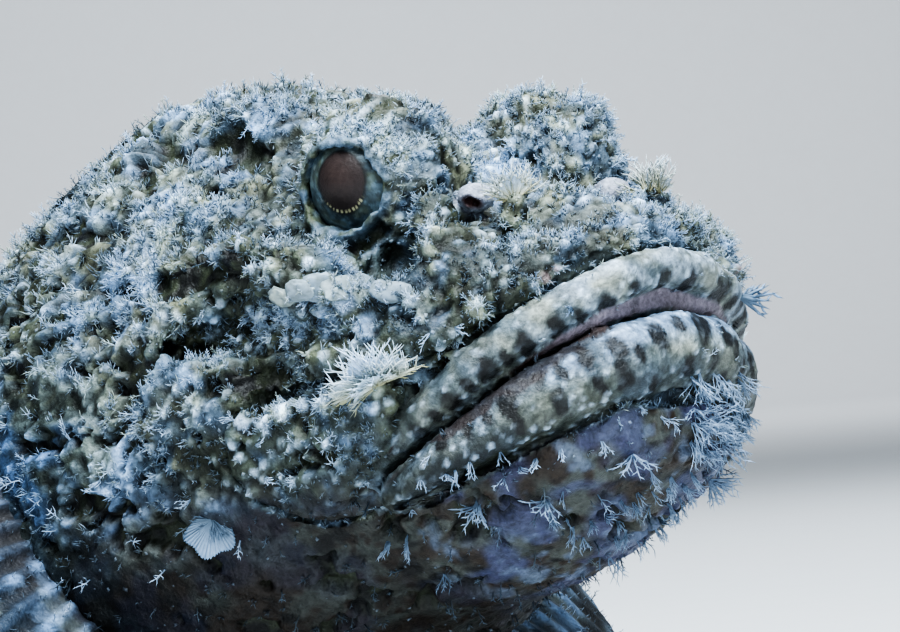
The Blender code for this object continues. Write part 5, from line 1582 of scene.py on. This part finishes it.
PLATES = [(298, 291, 3.0), (318, 289, 3.6), (343, 288, 3.8), (368, 288, 4.0), (392, 292, 3.4), (282, 297, 2.4)]
rows = []
rng = np.random.default_rng(19)
shades = []
for px, py, wide_ in PLATES:
    p = seen_at(px, py)
    if p is None:
        continue
    straight = unbend(p)
    for s_ in (1, -1):
        if s_ < 0 and straight[1] > -2.5:
            continue
        q = p if s_ > 0 else bend(straight * [1, -1, 1] + rng.normal(0, 0.7, 3))
        where, normal, colour = grounded(q)
        side_ = np.array([0.697, 0.717 * s_, 0.0])
        along = np.cross(unit(side_ + rng.normal(0, 0.12, 3)), unit(normal))
        rows.append((q, unit(normal + rng.normal(0, 0.08, 3) + [0, 0, 0.12]), along, wide_ * rng.uniform(0.9, 1.05), 0.0, plate(rng)))
        shades.append(mix(mix(CREAM, CHALK, 0.1 + rng.random() * 0.4), PALE, rng.random() * 0.6) * 0.78)
tassels("plates", rows, tip=np.array(shades), tip_share=0.95, base=mix(TAN, PALE, 0.35))

# beard of the chin and lower jaw
BEARD = [
    (447, 474, 2.6), (477, 502, 3.6), (408, 502, 2.4), (408, 535, 2.6), (388, 541, 2.4), (444, 574, 3.0), (560, 449, 3.0), (535, 458, 2.4),
    (519, 466, 2.6), (602, 441, 2.8), (563, 491, 2.6), (660, 416, 2.6), (674, 422, 2.8), (719, 380, 2.4), (722, 402, 3.2), (735, 413, 2.8),
    (716, 427, 3.4), (694, 477, 3.0), (683, 488, 3.0), (633, 502, 2.6), (660, 521, 3.0), (638, 541, 3.0), (610, 558, 3.2), (616, 535, 2.6),
    (700, 445, 3.0), (728, 432, 2.8), (650, 470, 2.4), (590, 520, 2.4), (430, 455, 2.2), (455, 470, 2.2), (500, 452, 2.2), (620, 425, 2.2),
    (640, 405, 2.2), (690, 395, 2.4), (705, 412, 2.8), (470, 462, 2.0), (420, 480, 2.0), (395, 470, 2.0), (550, 520, 2.0), (505, 478, 2.2),
]
SPRAYS = [
    (430, 334, 2.2), (455, 328, 2.2), (690, 228, 2.6), (700, 238, 2.2), (682, 222, 2.0), (500, 112, 2.2), (486, 104, 2.4), (520, 100, 2.0),
    (362, 100, 2.2), (380, 104, 2.2), (345, 103, 1.8), (410, 116, 2.0), (432, 124, 2.0), (560, 108, 2.0), (600, 140, 2.0), (610, 168, 2.2),
    (640, 215, 1.8), (585, 120, 1.8), (465, 118, 2.2), (540, 96, 2.0), (150, 488, 2.6), (190, 500, 2.4), (265, 478, 2.2), (300, 470, 2.2),
    (330, 440, 1.8), (235, 420, 2.2), (255, 445, 2.0), (135, 350, 2.4), (190, 380, 2.4), (110, 410, 2.6), (70, 440, 2.6), (150, 430, 2.6),
    (250, 320, 2.0), (310, 300, 1.8), (420, 318, 1.8), (220, 350, 2.2), (60, 380, 2.6), (30, 420, 2.8), (100, 480, 2.8), (60, 520, 3.0),
    (20, 480, 3.0), (130, 540, 2.8), (90, 580, 2.8), (240, 540, 2.2), (165, 570, 2.6), (40, 330, 2.4), (80, 290, 2.2), (120, 260, 2.0),
]


def placed_sprays(table, hang, jitter_share, fans):
    rows = []
    rng = np.random.default_rng(len(table) * 3 + 1)
    for px, py, length in table:
        p = seen_at(px, py)
        if p is None:
            continue
        for s in (1, -1):
            q = p
            if s < 0:
                straight = unbend(p)
                if straight[1] > -2.5:
                    continue
                q = bend(straight * [1, -1, 1] + rng.normal(0, 0.8, 3))
            where, normal, colour = grounded(q)
            direction = unit(normal * 0.9 + hang + rng.normal(0, jitter_share, 3))
            face = np.array([0.717, -0.697 * s, 0.0]) + rng.normal(0, 0.25, 3)
            if rng.random() < fans:
                template = tubes(wisp(rng, int(rng.integers(3, 7)), int(rng.integers(2, 5)), rng.uniform(12, 30)))
            else:
                template = tubes(sprig(rng, 7, 0.8, 0.5))
            rows.append((q, direction, face, length * rng.uniform(0.85, 1.15), rng.uniform(0.075, 0.12), template))
    return rows


rng = np.random.default_rng(23)
dense = [(690 + 52 * a_, 372 + 78 * b_, 2.2 + 1.5 * c_) for a_, b_, c_ in rng.random((60, 3))]
dense += [(560 + 130 * a_, 470 + 80 * b_, 1.8 + 1.2 * c_) for a_, b_, c_ in rng.random((26, 3))]
rows = placed_sprays(BEARD + dense, np.array([0.1, 0.0, -0.75]), 0.22, 0.92)
for point, direction in (((86, -7, 36.5), (0.6, -0.45, -0.65)), ((79, -13, 32), (0.35, -0.65, -0.65)), ((74, -19, 32), (0.1, -0.75, -0.65))):
    for place, way_, face in both(point, direction, (0.5, -0.3, 0.8)):
        rows.append((place, way_, TOWARD, 4.2, 0.16, tubes(fan(RNG, 7, 45, 3))))
tassels("chin_beard", rows, tip=mix(CHALK, PALE, 0.4), covers=("chin_tassel_front_right", "chin_tassel_front_left", "chin_tassel_side_right", "chin_tassel_side_left",
                                    "jaw_tassel_right", "jaw_tassel_left"))
tassels("head_sprays", placed_sprays(SPRAYS, np.array([0.0, 0.0, 0.15]), 0.25, 0.5))
print("coat", COAT, sum(n for _, n in COAT))


# ---------------------------------------------------------------- stage, light
def sheet(name, turn, far, radius, height):
    """A floor that curves up into a backdrop well behind the object."""
    profile = [(-2.6, 0.0), (far, 0.0)]
    for i in range(1, 13):
        a = math.pi / 2 * i / 12
        profile.append((far + radius * math.sin(a), radius * (1 - math.cos(a))))
    profile.append((far + radius, height))
    out = np.array([-math.sin(turn), math.cos(turn)])
    along = np.array([out[1], -out[0]])
    verts, faces = [], []
    for d, h in profile:
        for s in (-2.6, 2.6):
            verts.append((out[0] * d + along[0] * s, out[1] * d + along[1] * s, h))
    for i in range(len(profile) - 1):
        faces.append((2 * i, 2 * i + 1, 2 * i + 3, 2 * i + 2))
    obj = mesh_from(name, np.array(verts) / MM, np.array(faces))
    return obj


floor = sheet("floor", math.radians(AZIMUTH), 2.5, 0.4, 0.9)
floor.data.materials.append(material("floor", roughness=0.75, specular=0.2, variation=0.01, bump_size=6.0, tint=(0.62, 0.64, 0.66)))


def area_light(name, place, target, size, power, colour):
    data = bpy.data.lights.new(name, "AREA")
    data.energy, data.size, data.color = power, size, colour
    obj = bpy.data.objects.new(name, data)
    obj.location = place
    obj.rotation_euler = (Vector(target) - Vector(place)).to_track_quat("-Z", "Y").to_euler()
    bpy.context.scene.collection.objects.link(obj)


area_light("key", (0.26, -0.22, 0.60), (0.05, -0.01, 0.05), 0.34, 12.4, (0.87, 0.95, 1.0))
area_light("fill", (0.70, -0.55, 0.20), (0.05, 0.0, 0.04), 0.6, 1.6, (0.82, 0.91, 1.0))
area_light("rim", (-0.35, 0.45, 0.6), (0.0, 0.0, 0.05), 0.4, 4.0, (0.9, 0.95, 1.0))
wash = np.array([-math.sin(math.radians(AZIMUTH)), math.cos(math.radians(AZIMUTH))])
area_light("backdrop", (*(wash * 1.9), 1.3), (*(wash * 2.9), 0.15), 0.8, 20.0, (0.94, 0.97, 1.0))
world = bpy.data.worlds.new("world")
world.use_nodes = True
world.node_tree.nodes["Background"].inputs["Color"].default_value = (0.72, 0.8, 0.9, 1)
world.node_tree.nodes["Background"].inputs["Strength"].default_value = 0.16
bpy.context.scene.world = world
bpy.context.scene.view_settings.view_transform = "AgX"
bpy.context.scene.view_settings.look = "AgX - High Contrast"
